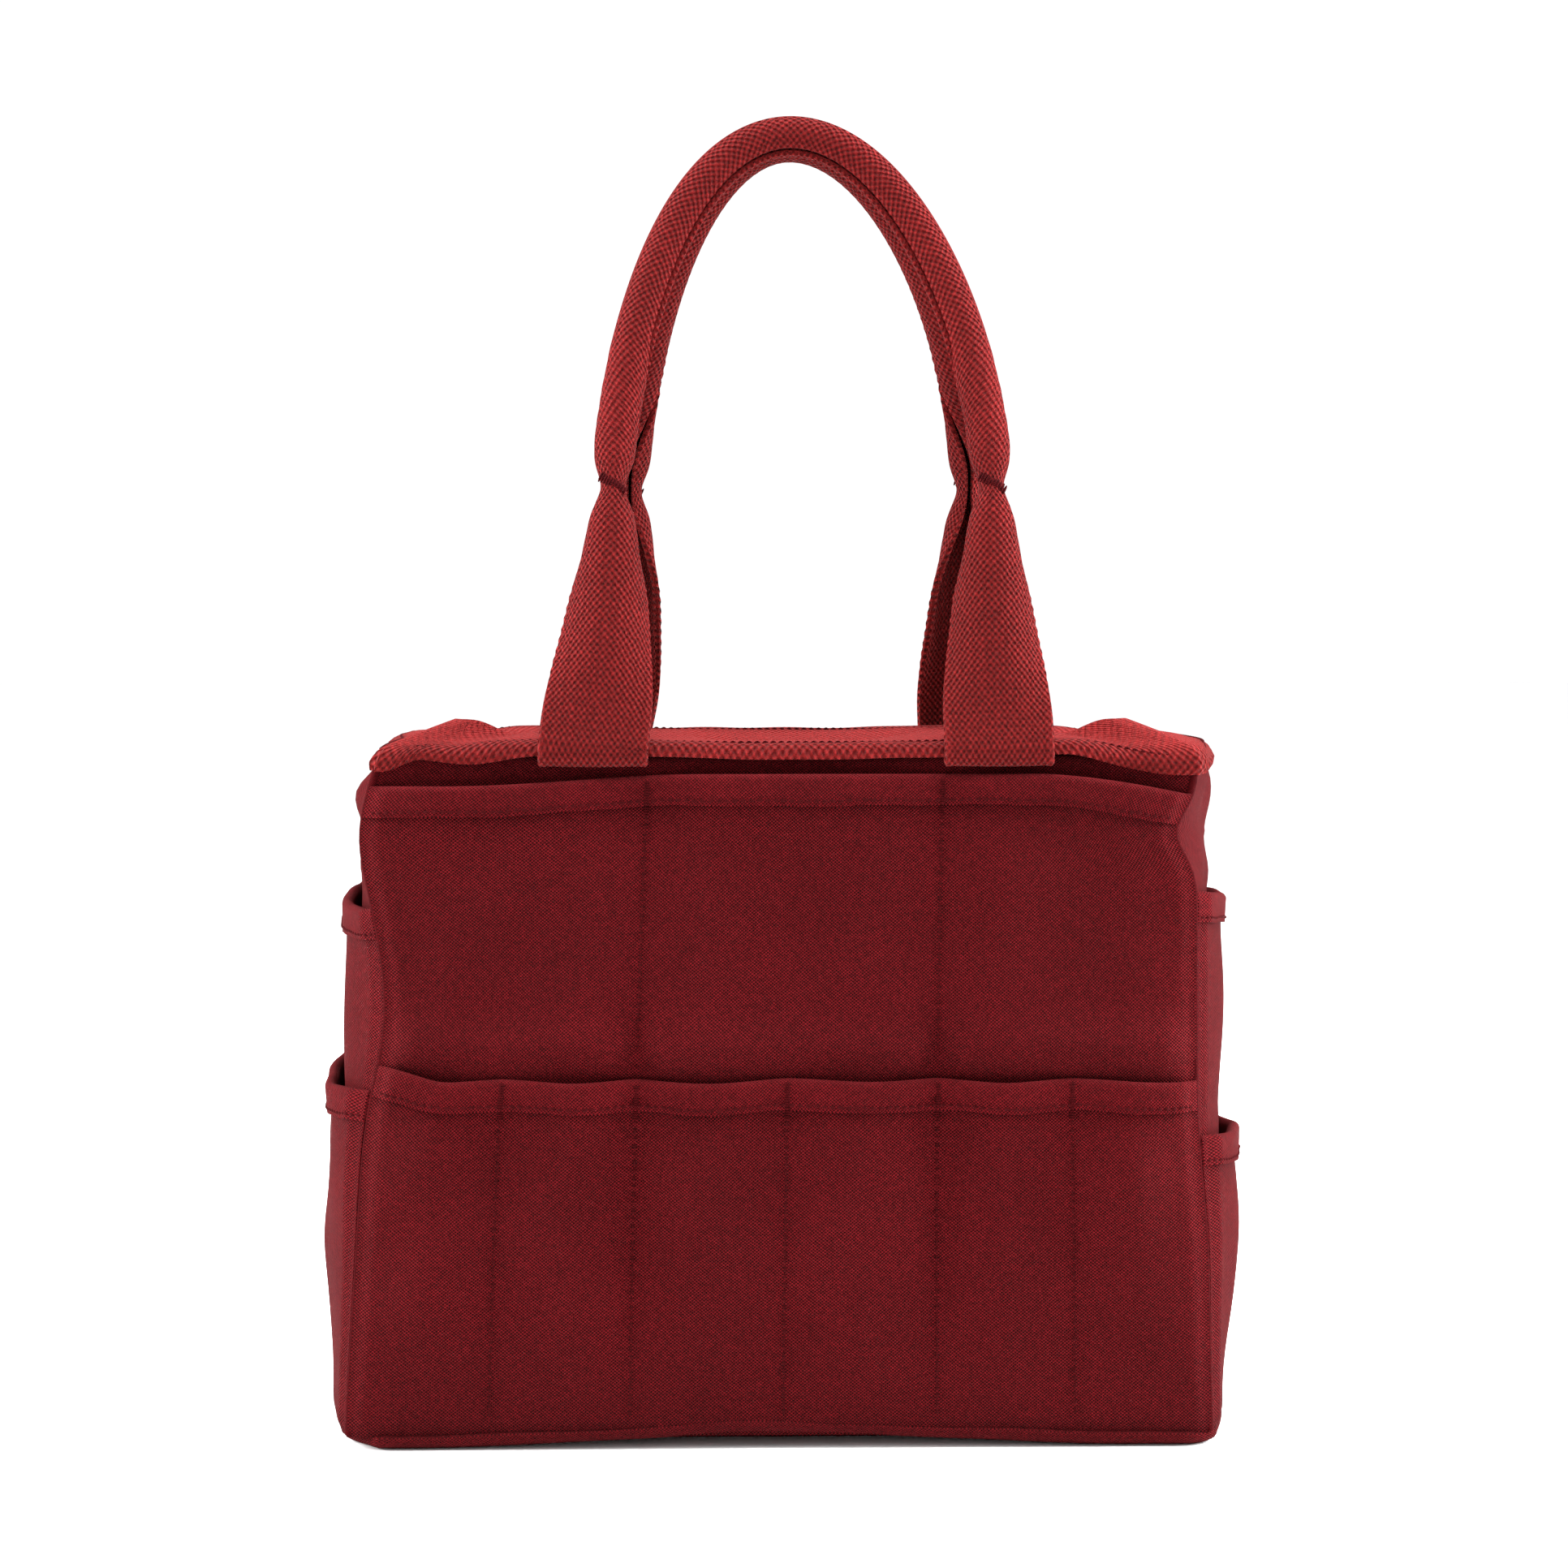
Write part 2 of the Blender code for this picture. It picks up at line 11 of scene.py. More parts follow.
import bpy
import numpy as np
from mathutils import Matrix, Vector


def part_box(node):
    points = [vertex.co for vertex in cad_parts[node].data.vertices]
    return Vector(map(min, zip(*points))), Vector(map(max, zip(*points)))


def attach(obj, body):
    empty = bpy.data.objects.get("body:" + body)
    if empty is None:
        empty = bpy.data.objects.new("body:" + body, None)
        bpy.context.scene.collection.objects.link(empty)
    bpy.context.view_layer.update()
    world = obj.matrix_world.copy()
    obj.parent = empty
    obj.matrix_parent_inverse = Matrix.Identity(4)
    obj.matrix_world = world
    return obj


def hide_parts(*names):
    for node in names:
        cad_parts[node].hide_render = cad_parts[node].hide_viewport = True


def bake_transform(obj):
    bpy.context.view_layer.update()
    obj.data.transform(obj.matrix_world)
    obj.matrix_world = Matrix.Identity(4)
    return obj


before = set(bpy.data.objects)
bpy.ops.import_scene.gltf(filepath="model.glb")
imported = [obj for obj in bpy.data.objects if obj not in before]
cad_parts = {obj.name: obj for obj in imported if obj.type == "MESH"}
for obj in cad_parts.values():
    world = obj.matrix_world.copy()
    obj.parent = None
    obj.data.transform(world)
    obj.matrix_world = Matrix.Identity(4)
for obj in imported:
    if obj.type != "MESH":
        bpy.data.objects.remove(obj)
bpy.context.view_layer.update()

# %% [markdown]
# ## The camera
# It stands a little above the middle of the bag and a little to the left, far enough away for calm
# perspective. It is made first, so that each new piece can be looked at as soon as it exists.

# %% Camera
CAMERA_PLACE = np.array([-0.035, -1.43, 0.31])
CAMERA_AIM = np.array([0.0, -0.085, 0.231])
FIELD_OF_VIEW = math.radians(22.5)


def aim(thing, place, at):
    """Put a camera or a light at a place, with its -Z axis towards a point."""
    thing.location = place
    thing.rotation_euler = (Vector(at) - Vector(place)).to_track_quat("-Z", "Y").to_euler()


camera = bpy.data.objects.new("camera", bpy.data.cameras.new("camera"))
camera.data.sensor_width = 36.0
camera.data.lens = camera.data.sensor_width / 2 / math.tan(FIELD_OF_VIEW / 2)
bpy.context.collection.objects.link(camera)
bpy.context.scene.camera = camera
aim(camera, CAMERA_PLACE, CAMERA_AIM)
print("lens:", round(camera.data.lens, 1), "mm")

# %% [markdown]
# ## Cloth patterns
# Canvas is a plain weave: threads cross over and under, so the high spots stand in a staggered lattice.
# The product of two cosines has exactly that lattice. It could be painted as an image, but a formula
# stays sharp at any distance. It is read along the cloth through a UV map in metres, so the weave bends
# with the folds.

# %% Node helpers
def link(tree, value, socket):
    """Plug a socket in, or set a plain number or colour."""
    if isinstance(value, bpy.types.NodeSocket):
        tree.links.new(value, socket)
    else:
        socket.default_value = value


def maths(tree, operation, a, b=0.0):
    """One arithmetic node on two sockets or numbers."""
    made = tree.nodes.new("ShaderNodeMath")
    made.operation = operation
    link(tree, a, made.inputs[0])
    link(tree, b, made.inputs[1])
    return made.outputs[0]


def noise(tree, vector, scale, detail=2.0):
    """Soft random values, with about `scale` lumps in a metre."""
    made = tree.nodes.new("ShaderNodeTexNoise")
    made.inputs["Scale"].default_value = scale
    made.inputs["Detail"].default_value = detail
    link(tree, vector, made.inputs["Vector"])
    return made.outputs["Fac"]


def remap(tree, value, low, high, new_low, new_high):
    """A straight line through (low, new_low) and (high, new_high), held level beyond them."""
    made = tree.nodes.new("ShaderNodeMapRange")
    link(tree, value, made.inputs["Value"])
    for name, number in (("From Min", low), ("From Max", high), ("To Min", new_low), ("To Max", new_high)):
        made.inputs[name].default_value = number
    return made.outputs["Result"]


def mixed(tree, share, a, b, blend_type="MIX"):
    """Colour a where the share is 0 and b, or a blended with b, where it is 1."""
    made = tree.nodes.new("ShaderNodeMix")
    made.data_type = "RGBA"
    made.blend_type = blend_type
    link(tree, share, made.inputs["Factor"])
    link(tree, a, made.inputs["A"])
    link(tree, b, made.inputs["B"])
    return made.outputs["Result"]


def bumped(tree, height, distance, strength, below=None):
    """Tilt the normal as if the surface stood out by height times distance, on top of the bump below."""
    made = tree.nodes.new("ShaderNodeBump")
    made.inputs["Distance"].default_value = distance
    made.inputs["Strength"].default_value = strength
    link(tree, height, made.inputs["Height"])
    if below is not None:
        link(tree, below, made.inputs["Normal"])
    return made.outputs["Normal"]


# %% A woven finish
# How fine each random pattern is, in lumps a metre.
BLOTCHES, CREASES, WANDERING = 26.0, 75.0, 160.0
SLUBS, LINT, FLUFF = 640.0, 700.0, 1500.0
WANDER_SHARE = 0.45          # how far the weave strays, as a share of its repeat


def woven(name, colour, across, along, depth, weave_shading, sheen, fade_and_highlight=1.5):
    """A cloth whose high spots repeat every `across` and `along` metres.

    Height is cos(2 pi u / across) times cos(2 pi v / along), with u and v pushed about by a little noise.
    The colour is painted darker in the gaps, as shade, and lighter on the high spots, as a highlight; it is
    blotched by slow noise and flecked with lint. A point attribute paints it paler above zero, for real wear
    on folds and edges and a painted highlight on the rim band's leaning top, and darker below zero, as
    painted shade.
    """
    made = bpy.data.materials.new(name)
    made.use_nodes = True
    tree = made.node_tree
    shader = tree.nodes["Principled BSDF"]
    cloth_uv = tree.nodes.new("ShaderNodeUVMap")
    cloth_uv.uv_map = "cloth"
    split = tree.nodes.new("ShaderNodeSeparateXYZ")
    tree.links.new(cloth_uv.outputs["UV"], split.inputs[0])
    place = tree.nodes.new("ShaderNodeTexCoord").outputs["Object"]
    centred = maths(tree, "SUBTRACT", noise(tree, place, WANDERING), 0.5)
    wander = maths(tree, "MULTIPLY", centred, across * WANDER_SHARE)
    waves = []
    for axis, period in ((0, across), (1, along)):
        pushed = maths(tree, "ADD", split.outputs[axis], wander)
        waves.append(maths(tree, "COSINE", maths(tree, "MULTIPLY", pushed, 2 * math.pi / period)))
    weave = maths(tree, "MULTIPLY", *waves)
    fluff = noise(tree, place, FLUFF, 3.0)
    blotch = noise(tree, place, BLOTCHES, 4.0)
    wear_and_painted_light = tree.nodes.new("ShaderNodeAttribute")
    wear_and_painted_light.attribute_name = "wear_and_painted_light"
    # Painted light in the weave: the gaps are painted darker as shade and the high spots lighter as a
    # highlight.
    shaded_gap_colour = tuple(c * (1 - weave_shading) for c in colour) + (1.0,)
    lit_crown_colour = tuple(c * (1 + weave_shading) + 0.004 * weave_shading for c in colour) + (1.0,)
    shade = mixed(tree, remap(tree, weave, -0.9, 0.9, 0.0, 1.0), shaded_gap_colour, lit_crown_colour)
    mottle = remap(tree, blotch, 0.3, 0.7, 0.90, 1.10)
    slub = noise(tree, place, SLUBS)
    grain = remap(tree, slub, 0.35, 0.65, 0.82, 1.18)
    level = maths(tree, "MULTIPLY", mottle, grain)
    # Painted shade: below zero the point attribute darkens seams, creases, the foot and under the bindings,
    # to 0.35 at -1.
    level = maths(tree, "MULTIPLY", level, remap(tree, wear_and_painted_light.outputs["Fac"], -1.0, 0.0, 0.35, 1.0))
    tint = tree.nodes.new("ShaderNodeCombineColor")
    for channel in range(3):
        tree.links.new(level, tint.inputs[channel])
    shade = mixed(tree, 1.0, shade, tint.outputs[0], "MULTIPLY")
    # Above zero the point attribute mixes in a paler colour: real wear on folds and edges, and a painted
    # highlight on the rim band's top.
    pale_wear_and_highlight = tuple(min(c * fade_and_highlight + 0.006, 1.0) for c in colour) + (1.0,)
    shade = mixed(tree, remap(tree, wear_and_painted_light.outputs["Fac"], 0.0, 1.0, 0.0, 0.55), shade, pale_wear_and_highlight)
    lint = remap(tree, noise(tree, place, LINT, 1.0), 0.76, 0.82, 0.0, 0.22)
    shade = mixed(tree, lint, shade, tuple(min(c * 1.8 + 0.02, 1.0) for c in colour) + (1.0,))
    tree.links.new(shade, shader.inputs["Base Color"])
    creases = bumped(tree, noise(tree, place, CREASES, 3.0), 0.0016, 0.35)
    threads = bumped(tree, weave, depth, 0.8, creases)
    tree.links.new(bumped(tree, fluff, depth * 0.6, 0.6, threads), shader.inputs["Normal"])
    shader.inputs["Roughness"].default_value = 0.92
    shader.inputs["Specular IOR Level"].default_value = 0.03
    shader.inputs["Sheen Weight"].default_value = sheen
    shader.inputs["Sheen Roughness"].default_value = 0.45
    shader.inputs["Sheen Tint"].default_value = (1.0, 0.62, 0.60, 1.0)
    return made


CANVAS_RED = (0.068, 0.0009, 0.0024)
WEBBING_RED = (0.104, 0.0046, 0.0046)
canvas = woven("canvas", CANVAS_RED, 0.00130, 0.00112, 0.00070, 0.96, 0.012)
binding_cloth = woven("binding", tuple(c * 1.03 for c in CANVAS_RED), 0.00124, 0.00112, 0.00060, 0.90, 0.014)
# The webbing's strong pale mix also paints the highlight on the rim band's leaning top.
webbing = woven("webbing", WEBBING_RED, 0.00206, 0.00270, 0.00130, 0.62, 0.04, fade_and_highlight=2.6)
# The thread is darker than the canvas: partly its own colour, partly painted shade for the holes it sinks
# into.
thread = woven("thread", (0.034, 0.0008, 0.0016), 0.00070, 0.00070, 0.00012, 0.30, 0.02)
seam_shade = woven("seam_fold", tuple(c * 0.55 for c in CANVAS_RED), 0.00105, 0.00060, 0.00020, 0.40, 0.0)
print("finishes:", [m.name for m in (canvas, binding_cloth, webbing, thread, seam_shade)])

# %% [markdown]
# ## A sheet of cloth
# Every panel is a closed sheet with an outer and an inner face. Solidify could thicken a single surface,
# but two computed faces let the cloth be thin where it is pressed in a seam and full elsewhere. The faces
# are grids, so whole arrays become the mesh at once.

# %% From grids to a mesh
def make_piece(name, points, quads, corner_uv, wear_and_painted_light, finish):
    """Points (n, 3), quads (f, 4) and a UV for each quad corner become one object at the origin.

    The signed volume, a sixth of the sum of a . (b x c) over the triangles, is made positive, so that faces
    point outwards.
    """
    triangles = np.concatenate((quads[:, [0, 1, 2]], quads[:, [0, 2, 3]]))
    a, b, c = (points[triangles[:, k]] for k in range(3))
    if np.einsum("ij,ij->i", a, np.cross(b, c)).sum() < 0:
        quads, corner_uv = quads[:, ::-1], corner_uv[:, ::-1]
    mesh = bpy.data.meshes.new(name)
    mesh.vertices.add(len(points))
    mesh.vertices.foreach_set("co", points.astype(np.float32).ravel())
    mesh.loops.add(quads.size)
    mesh.loops.foreach_set("vertex_index", quads.astype(np.int32).ravel())
    mesh.polygons.add(len(quads))
    mesh.polygons.foreach_set("loop_start", np.arange(0, quads.size, 4, dtype=np.int32))
    mesh.update(calc_edges=True)
    layer = mesh.uv_layers.new(name="cloth")
    layer.data.foreach_set("uv", corner_uv.astype(np.float32).ravel())
    # The point attribute holds real wear and painted light: paler above zero, painted shade below zero.
    wear_and_light_values = mesh.attributes.new("wear_and_painted_light", "FLOAT", "POINT")
    wear_and_light_values.data.foreach_set("value", np.clip(wear_and_painted_light, -1, 1).astype(np.float32).ravel())
    mesh.shade_smooth()
    mesh.set_sharp_from_angle(angle=math.radians(60))
    mesh.materials.append(finish)
    made = bpy.data.objects.new(name, mesh)
    bpy.context.collection.objects.link(made)
    print(f"{name}: {2 * len(quads)} triangles")
    return made


def shell(name, outer, inner, uv, finish, wear_and_painted_light=0.0, around=False):
    """A closed sheet between two (columns, rows, 3) grids; around joins the last column to the first."""
    n, m = outer.shape[:2]
    columns = n + 1 if around else n
    grid = np.arange(columns * m).reshape(columns, m)
    layer = columns * m

    def quads(a, b, c, d):
        """Four arrays of corners become rows of four."""
        return np.stack((a, b, c, d), axis=-1).reshape(-1, 4)

    face = quads(grid[:-1, :-1], grid[1:, :-1], grid[1:, 1:], grid[:-1, 1:])
    parts = [face, face[:, ::-1] + layer]
    a, b = grid[:-1, 0], grid[1:, 0]
    parts.append(quads(b, a, a + layer, b + layer))
    a, b = grid[:-1, -1], grid[1:, -1]
    parts.append(quads(a, b, b + layer, a + layer))
    if not around:
        a, b = grid[0, :-1], grid[0, 1:]
        parts.append(quads(a, b, b + layer, a + layer))
        a, b = grid[-1, :-1], grid[-1, 1:]
        parts.append(quads(b, a, a + layer, b + layer))
    logical = np.concatenate(parts)
    column, row = logical % layer // m, logical % m
    vertices = logical // layer * (n * m) + column % n * m + row
    points = np.concatenate((outer.reshape(-1, 3), inner.reshape(-1, 3)))
    wear_and_light_values = np.tile(np.broadcast_to(wear_and_painted_light, (n, m)).reshape(-1), 2)
    return make_piece(name, points, vertices, uv[column, row], wear_and_light_values, finish)


def place_piece(piece, body, slot, *nodes):
    """Say what a piece moves with and which plain solids it stands for; the slot is not used."""
    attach(piece, body)
    if nodes:
        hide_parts(*nodes)


# %% [markdown]
# ## The walls as a formula
# A full bag hangs from its corner seams, so its outline is never straight: the seams wander in and out by
# some millimetres and the short ends belly out. Two functions give any point on a long wall or a short
# end from its share across, its height up the cloth and its distance from the wall. Every layer uses
# them, so pockets, bindings and stitches follow every wave of the wall behind them.

# %% Sizes of the walls
FRONT, BACK = -1, 1
LEFT, RIGHT = -1, 1
HEIGHT = 0.240               # where the cloth starts to lean inwards under the rim band
BASE_HALF_WIDTH, TOP_HALF_WIDTH = 0.149, 0.142
BASE_HALF_DEPTH, TOP_HALF_DEPTH = 0.078, 0.071
TOP_SHIFT = 0.0045
COLLAR = 0.0290              # cloth above the lean, measured along it
# How far the collar rises over its fold line and leans in: in the middle of a side, past the straps and
# at a corner. The back rim sinks a little into the opening.
MIDDLE_RISE, MIDDLE_INSET = {FRONT: -0.0010, BACK: -0.0088}, 0.0285
SIDE_RISE, SIDE_INSET = {FRONT: 0.0030, BACK: -0.0050}, 0.0275
CORNER_RISE = {FRONT: 0.0098, BACK: 0.0010}
CORNER_INSET_X, CORNER_INSET_Y = 0.0255, 0.0220
END_RISE = 0.0030
LEAN_SOFTNESS = 0.0016
CANVAS_THICKNESS = 0.0012
GAP = 0.0003
SOLE_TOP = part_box("bottom_panel")[1][2]
print("sole top:", round(float(SOLE_TOP), 4))


# %% Soft steps, hills and ripples
def mix(a, b, share):
    """A straight line from a to b: a + (b - a) share."""
    return a + (b - a) * share


def smooth(share):
    """A soft step from 0 to 1: s squared times (3 - 2 s), level outside."""
    share = np.clip(share, 0.0, 1.0)
    return share * share * (3 - 2 * share)


def bump(value, middle, reach):
    """A soft hill of height 1: exp(-((value - middle) / reach) squared)."""
    return np.exp(-(((value - middle) / reach) ** 2))


def ripple(u, v, seed, length, size):
    """Six sine waves in random directions, about `length` from crest to crest, added up."""
    rng = np.random.default_rng(seed)
    total = 0.0
    turns = rng.uniform(0, math.pi, 6)
    stretches = rng.uniform(0.7, 1.5, 6)
    phases = rng.uniform(0, 6.28, 6)
    for turn, stretch, phase in zip(turns, stretches, phases):
        along = u * math.cos(turn) + v * math.sin(turn)
        total = total + np.sin(along * 2 * math.pi / (length * stretch) + phase)
    return size * total / math.sqrt(6)


# %% The bag's outline at a height
def half_width(z):
    """Half the width at a height, on a straight line from the floor's to the top's."""
    return mix(BASE_HALF_WIDTH, TOP_HALF_WIDTH, z / HEIGHT)


def half_depth(z):
    """Half the depth at a height, on a straight line as well."""
    return mix(BASE_HALF_DEPTH, TOP_HALF_DEPTH, z / HEIGHT)


def shift(z):
    """How far the standing bag leans to the right, with the square of the height."""
    return TOP_SHIFT * (z / HEIGHT) ** 2


# %% The corner seams and the collar
def corner_line(side, facing, z):
    """How far a corner seam strays outwards at a height: soft hills and hollows, weaker at the back."""
    left = 0.0022 * bump(z, 0, 0.06) - 0.0056 * bump(z, 0.150, 0.030) + 0.0062 * bump(z, 0.214, 0.024)
    right = -0.0032 * smooth((z - 0.06) / 0.06) - 0.0072 * bump(z, 0.213, 0.011)
    return np.where(side < 0, left, right) * (1.0 if facing == FRONT else 0.5)


def front_collar(a, facing):
    """Rise and inset of the collar: low in the middle, higher past the straps, and set at each corner."""
    a = np.abs(a)
    past_straps, corner = smooth((a - 0.20) / 0.25), smooth((a - 0.80) / 0.18)
    rise = mix(mix(MIDDLE_RISE[facing], SIDE_RISE[facing], past_straps), CORNER_RISE[facing], corner)
    inset = mix(mix(MIDDLE_INSET, SIDE_INSET, past_straps), CORNER_INSET_Y, corner)
    return rise, inset


def lean(t):
    """Cloth above the lean: a soft corner, w log(1 + exp((t - height) / w))."""
    return LEAN_SOFTNESS * np.logaddexp(0, (t - HEIGHT) / LEAN_SOFTNESS)


def offset(place, share, t, off):
    """Move a point square to the cloth: outwards by the slope of z, down by the slope of the way out."""
    step = 0.0004
    x, out, z = place(share, t)
    _, next_out, next_z = place(share, t + step)
    length = np.hypot(next_out - out, next_z - z)
    return x, out + off * (next_z - z) / length, z - off * (next_out - out) / length


# %% Points on a long wall
def front_point(facing):
    """Points on the front or back: x is the share times the half width, plus the corner seams' wander."""

    def base(a, t):
        """Share and height up the cloth give x, distance out and height."""
        rise, inset = front_collar(a, facing)
        above = lean(t)
        z = t - above + above * rise / COLLAR
        side_share = smooth((np.abs(a) - 0.5) / 0.5)
        x = a * (half_width(z) - CORNER_INSET_X * above / COLLAR) + shift(z)
        x = x + np.sign(a) * corner_line(a, facing, z) * side_share
        free = smooth((1 - np.abs(a)) / 0.10) * smooth(z / 0.05) * (1 - smooth((z - 0.20) / 0.03))
        out = half_depth(z) - inset * above / COLLAR
        out = out + free * ripple(x, z, 11 + facing, 0.085, 0.0009)
        return x, out, z

    def place(a, t, off):
        """The same point, moved off the cloth and turned to the front or back."""
        x, out, z = offset(base, a, t, off)
        return np.stack(np.broadcast_arrays(x, facing * out, z), axis=-1)

    return place


# %% Points on a short end
def end_belly(side, z):
    """How far an end's middle stands out: the left one pulls in at its rim over a roll of slack cloth."""
    if side == RIGHT:
        return 0.0084 - 0.0014 * smooth(z / 0.22)
    slack = 0.0035 * bump(z, 0.219, 0.013) - 0.0062 * smooth((z - 0.224) / 0.016)
    return 0.0066 + 0.0030 * (1 - smooth(z / 0.08)) + 0.0025 * smooth((z - 0.10) / 0.08) + slack


def end_point(side):
    """Points on a short end: it bellies out by a share of 1 - b squared, most at the floor and the top."""

    across = 0.075           # metres to a share, for the ripples

    def base(b, t):
        """Share and height up the cloth give y, distance out and height."""
        above = lean(t)
        corner = smooth((np.abs(b) - 0.45) / 0.55)
        rise = mix(END_RISE, np.where(b < 0, CORNER_RISE[FRONT], CORNER_RISE[BACK]), corner)
        z = t - above + above * rise / COLLAR
        belly = end_belly(side, z) * (1 - b * b)
        seam = np.where(b < 0, corner_line(side, FRONT, z), corner_line(side, BACK, z)) * b ** 4
        loose = (1 - b * b) * smooth((z - 0.185) / 0.02) * (1 - smooth((z - 0.228) / 0.014))
        out = half_width(z) + belly + seam - CORNER_INSET_X * above / COLLAR
        out = out + loose * ripple(b * across, z, 31 + side, 0.030, 0.0020)
        out = out + (1 - b * b) * smooth(z / 0.05) * ripple(b * across, z, 41 + side, 0.075, 0.0009)
        depth = half_depth(z) - CANVAS_THICKNESS - GAP - CORNER_INSET_Y * above / COLLAR
        return b * depth, out, z

    def place(b, t, off):
        """The same point, moved off the cloth and turned to the left or right."""
        y, out, z = offset(base, b, t, off)
        return np.stack(np.broadcast_arrays(side * out + shift(z), y, z), axis=-1)

    return place


# %% [markdown]
# ## Walls and corner seams
# The walls are one layer of canvas each. Only their insides and a strip between the pockets and the rim
# show, but that strip sets how the light falls at the top. Each corner seam is a pressed fold of canvas
# that the panels meet in: a thin roll along the corner, darker because it lies in its own shadow.

# %% Make the walls
def steps(low, high, size):
    """Even steps of about a size from low to high."""
    return np.linspace(low, high, int(round((high - low) / size)) + 1)


def cloth_uv(u, v):
    """Metres along and up the cloth as UVs."""
    return np.stack(np.broadcast_arrays(u, v), axis=-1)


FRONT_SPREAD, END_SPREAD = 0.1453, 0.0745      # metres of cloth for a whole share
WALL_FOOT, WALL_TOP = 0.0045, HEIGHT + COLLAR - CANVAS_THICKNESS


def declare(grid):
    """Take the steps between neighbouring points of a panel's grid along both directions; nothing is kept."""
    right, up = np.diff(grid, axis=0), np.diff(grid, axis=1)


def make_wall(name, place, share, spread):
    """One layer of canvas from the sole to just under the rim band's fold."""
    t = steps(WALL_FOOT, WALL_TOP, 0.003)[None, :]
    share = share[:, None]
    outer = place(share, t, 0.0)
    wall = shell(name, outer, place(share, t, -CANVAS_THICKNESS), cloth_uv(share * spread, t), canvas)
    declare(outer)
    return wall


ACROSS_FRONT = np.linspace(-1, 1, 111)
ACROSS_END = np.linspace(-1, 1, 61)
for word, facing in (("front", FRONT), ("back", BACK)):
    wall = make_wall(f"{word}_wall", front_point(facing), ACROSS_FRONT, FRONT_SPREAD)
    place_piece(wall, "bag", "canvas", f"{word}_panel")
for word, side in (("left", LEFT), ("right", RIGHT)):
    wall = make_wall(f"{word}_end", end_point(side), ACROSS_END, END_SPREAD)
    place_piece(wall, "bag", "canvas", f"{word}_gusset")


# %% Make the corner seams
def run_along(points):
    """Distance from the first point to each one along the line."""
    return np.concatenate(([0.0], np.cumsum(np.linalg.norm(np.diff(points, axis=0), axis=1))))


def rings(path, radius, sides):
    """A tube: circles of a radius round a path, square to its run, in the frame of a fixed sideways axis."""
    along = np.gradient(path, axis=0)
    along /= np.linalg.norm(along, axis=1, keepdims=True)
    side = np.cross(along, np.array([0.3, 1.0, 0.0]))
    side /= np.linalg.norm(side, axis=1, keepdims=True)
    other = np.cross(along, side)
    turn = np.linspace(0, 2 * math.pi, sides, endpoint=False)
    radius = np.broadcast_to(radius, (len(path),))[:, None, None]
    return path[:, None] + radius * (
        np.cos(turn)[None, :, None] * side[:, None] + np.sin(turn)[None, :, None] * other[:, None])


def closed_tube(name, path, radius, sides, finish):
    """A tube whose ends shrink to a small hole that a quad closes: rows run round it, columns along it."""
    ring = rings(path, radius, sides)
    n, m = ring.shape[:2]
    index = np.arange(n * m).reshape(n, m)
    following = np.roll(index, -1, axis=1)
    quads = np.stack((index[:-1], index[1:], following[1:], following[:-1]), axis=-1).reshape(-1, 4)
    fan = np.array([[0, k, k + 1, k + 2] for k in range(1, m - 2, 2)])
    caps = np.concatenate((fan[:, ::-1], fan + (n - 1) * m))
    quads = np.concatenate((quads, caps))
    run = run_along(path)
    uv = cloth_uv(np.arange(m) * 0.001, run[:, None]).reshape(-1, 2)
    return make_piece(name, ring.reshape(-1, 3), quads, uv[quads], np.zeros(n * m), finish)


SEAM_ROLL = 0.0015
for word, facing in (("front", FRONT), ("back", BACK)):
    for side_word, side in (("left", LEFT), ("right", RIGHT)):
        t = steps(0.005, HEIGHT - 0.001, 0.004)
        path = front_point(facing)(np.full_like(t, side), t, -SEAM_ROLL * 0.4)
        path[:, 0] -= side * SEAM_ROLL * 0.4
        roll = closed_tube(f"{word}_{side_word}_corner_seam", path, SEAM_ROLL, 10, seam_shade)
        place_piece(roll, "bag", "canvas")

# %% [markdown]
# ## Pockets
# A pocket is a panel of canvas laid on the layer behind it and sewn down at its sides, its foot and its
# division seams. Between seams it stands away, fullest at the mouth. The distance from the layer behind
# is a formula: nothing at a seam, rising in a smooth step beside it. The upper panel also bellies over
# the lower pockets' bindings, and the cloth puckers where a thread pulls it.

# %% Fullness of a pocket
UPPER_SEAMS = (-0.052, 0.052)
LOWER_SEAMS = (-0.099, -0.052, 0.0, 0.052, 0.099)
STITCH = 0.0028              # from one stitch to the next
FULL_REACH = 0.026


def seam_distance(x, seams):
    """Distance to the nearest division seam or side of the panel."""
    lines = np.array([-FRONT_SPREAD, *seams, FRONT_SPREAD])
    return np.abs(np.asarray(x)[..., None] - lines).min(axis=-1)


def fullness(distance, reach=FULL_REACH):
    """A smooth step from the seam to the reach, then level."""
    return smooth(distance / reach) ** 0.8


def pinch(share, spread):
    """Layers are pressed thin in the last millimetres beside a corner seam."""
    return mix(0.30, 1.0, smooth((1 - np.abs(share)) * spread / 0.006))


def pucker(distance, along):
    """Small waves beside a line of stitches, two stitches long, that fade within 5 mm."""
    return 0.00030 * np.exp(-distance / 0.004) * np.sin(along * math.pi / STITCH) * smooth(distance / 0.001)


# %% Layers of the long sides
EASE = 0.0029                # how far a full pocket stands away
SEWN, MOUTH = 0.0004, 0.0016 # least distance at the foot and at the mouth
UPPER_MOUTH, LOWER_MOUTH = 0.2316, 0.1268
UPPER_RUN, LOWER_RUN = 0.2305, 0.1270          # heights over which SEWN grows to MOUTH
BELLY, BELLY_HEIGHT, BELLY_REACH = 0.0042, 0.1405, 0.0090


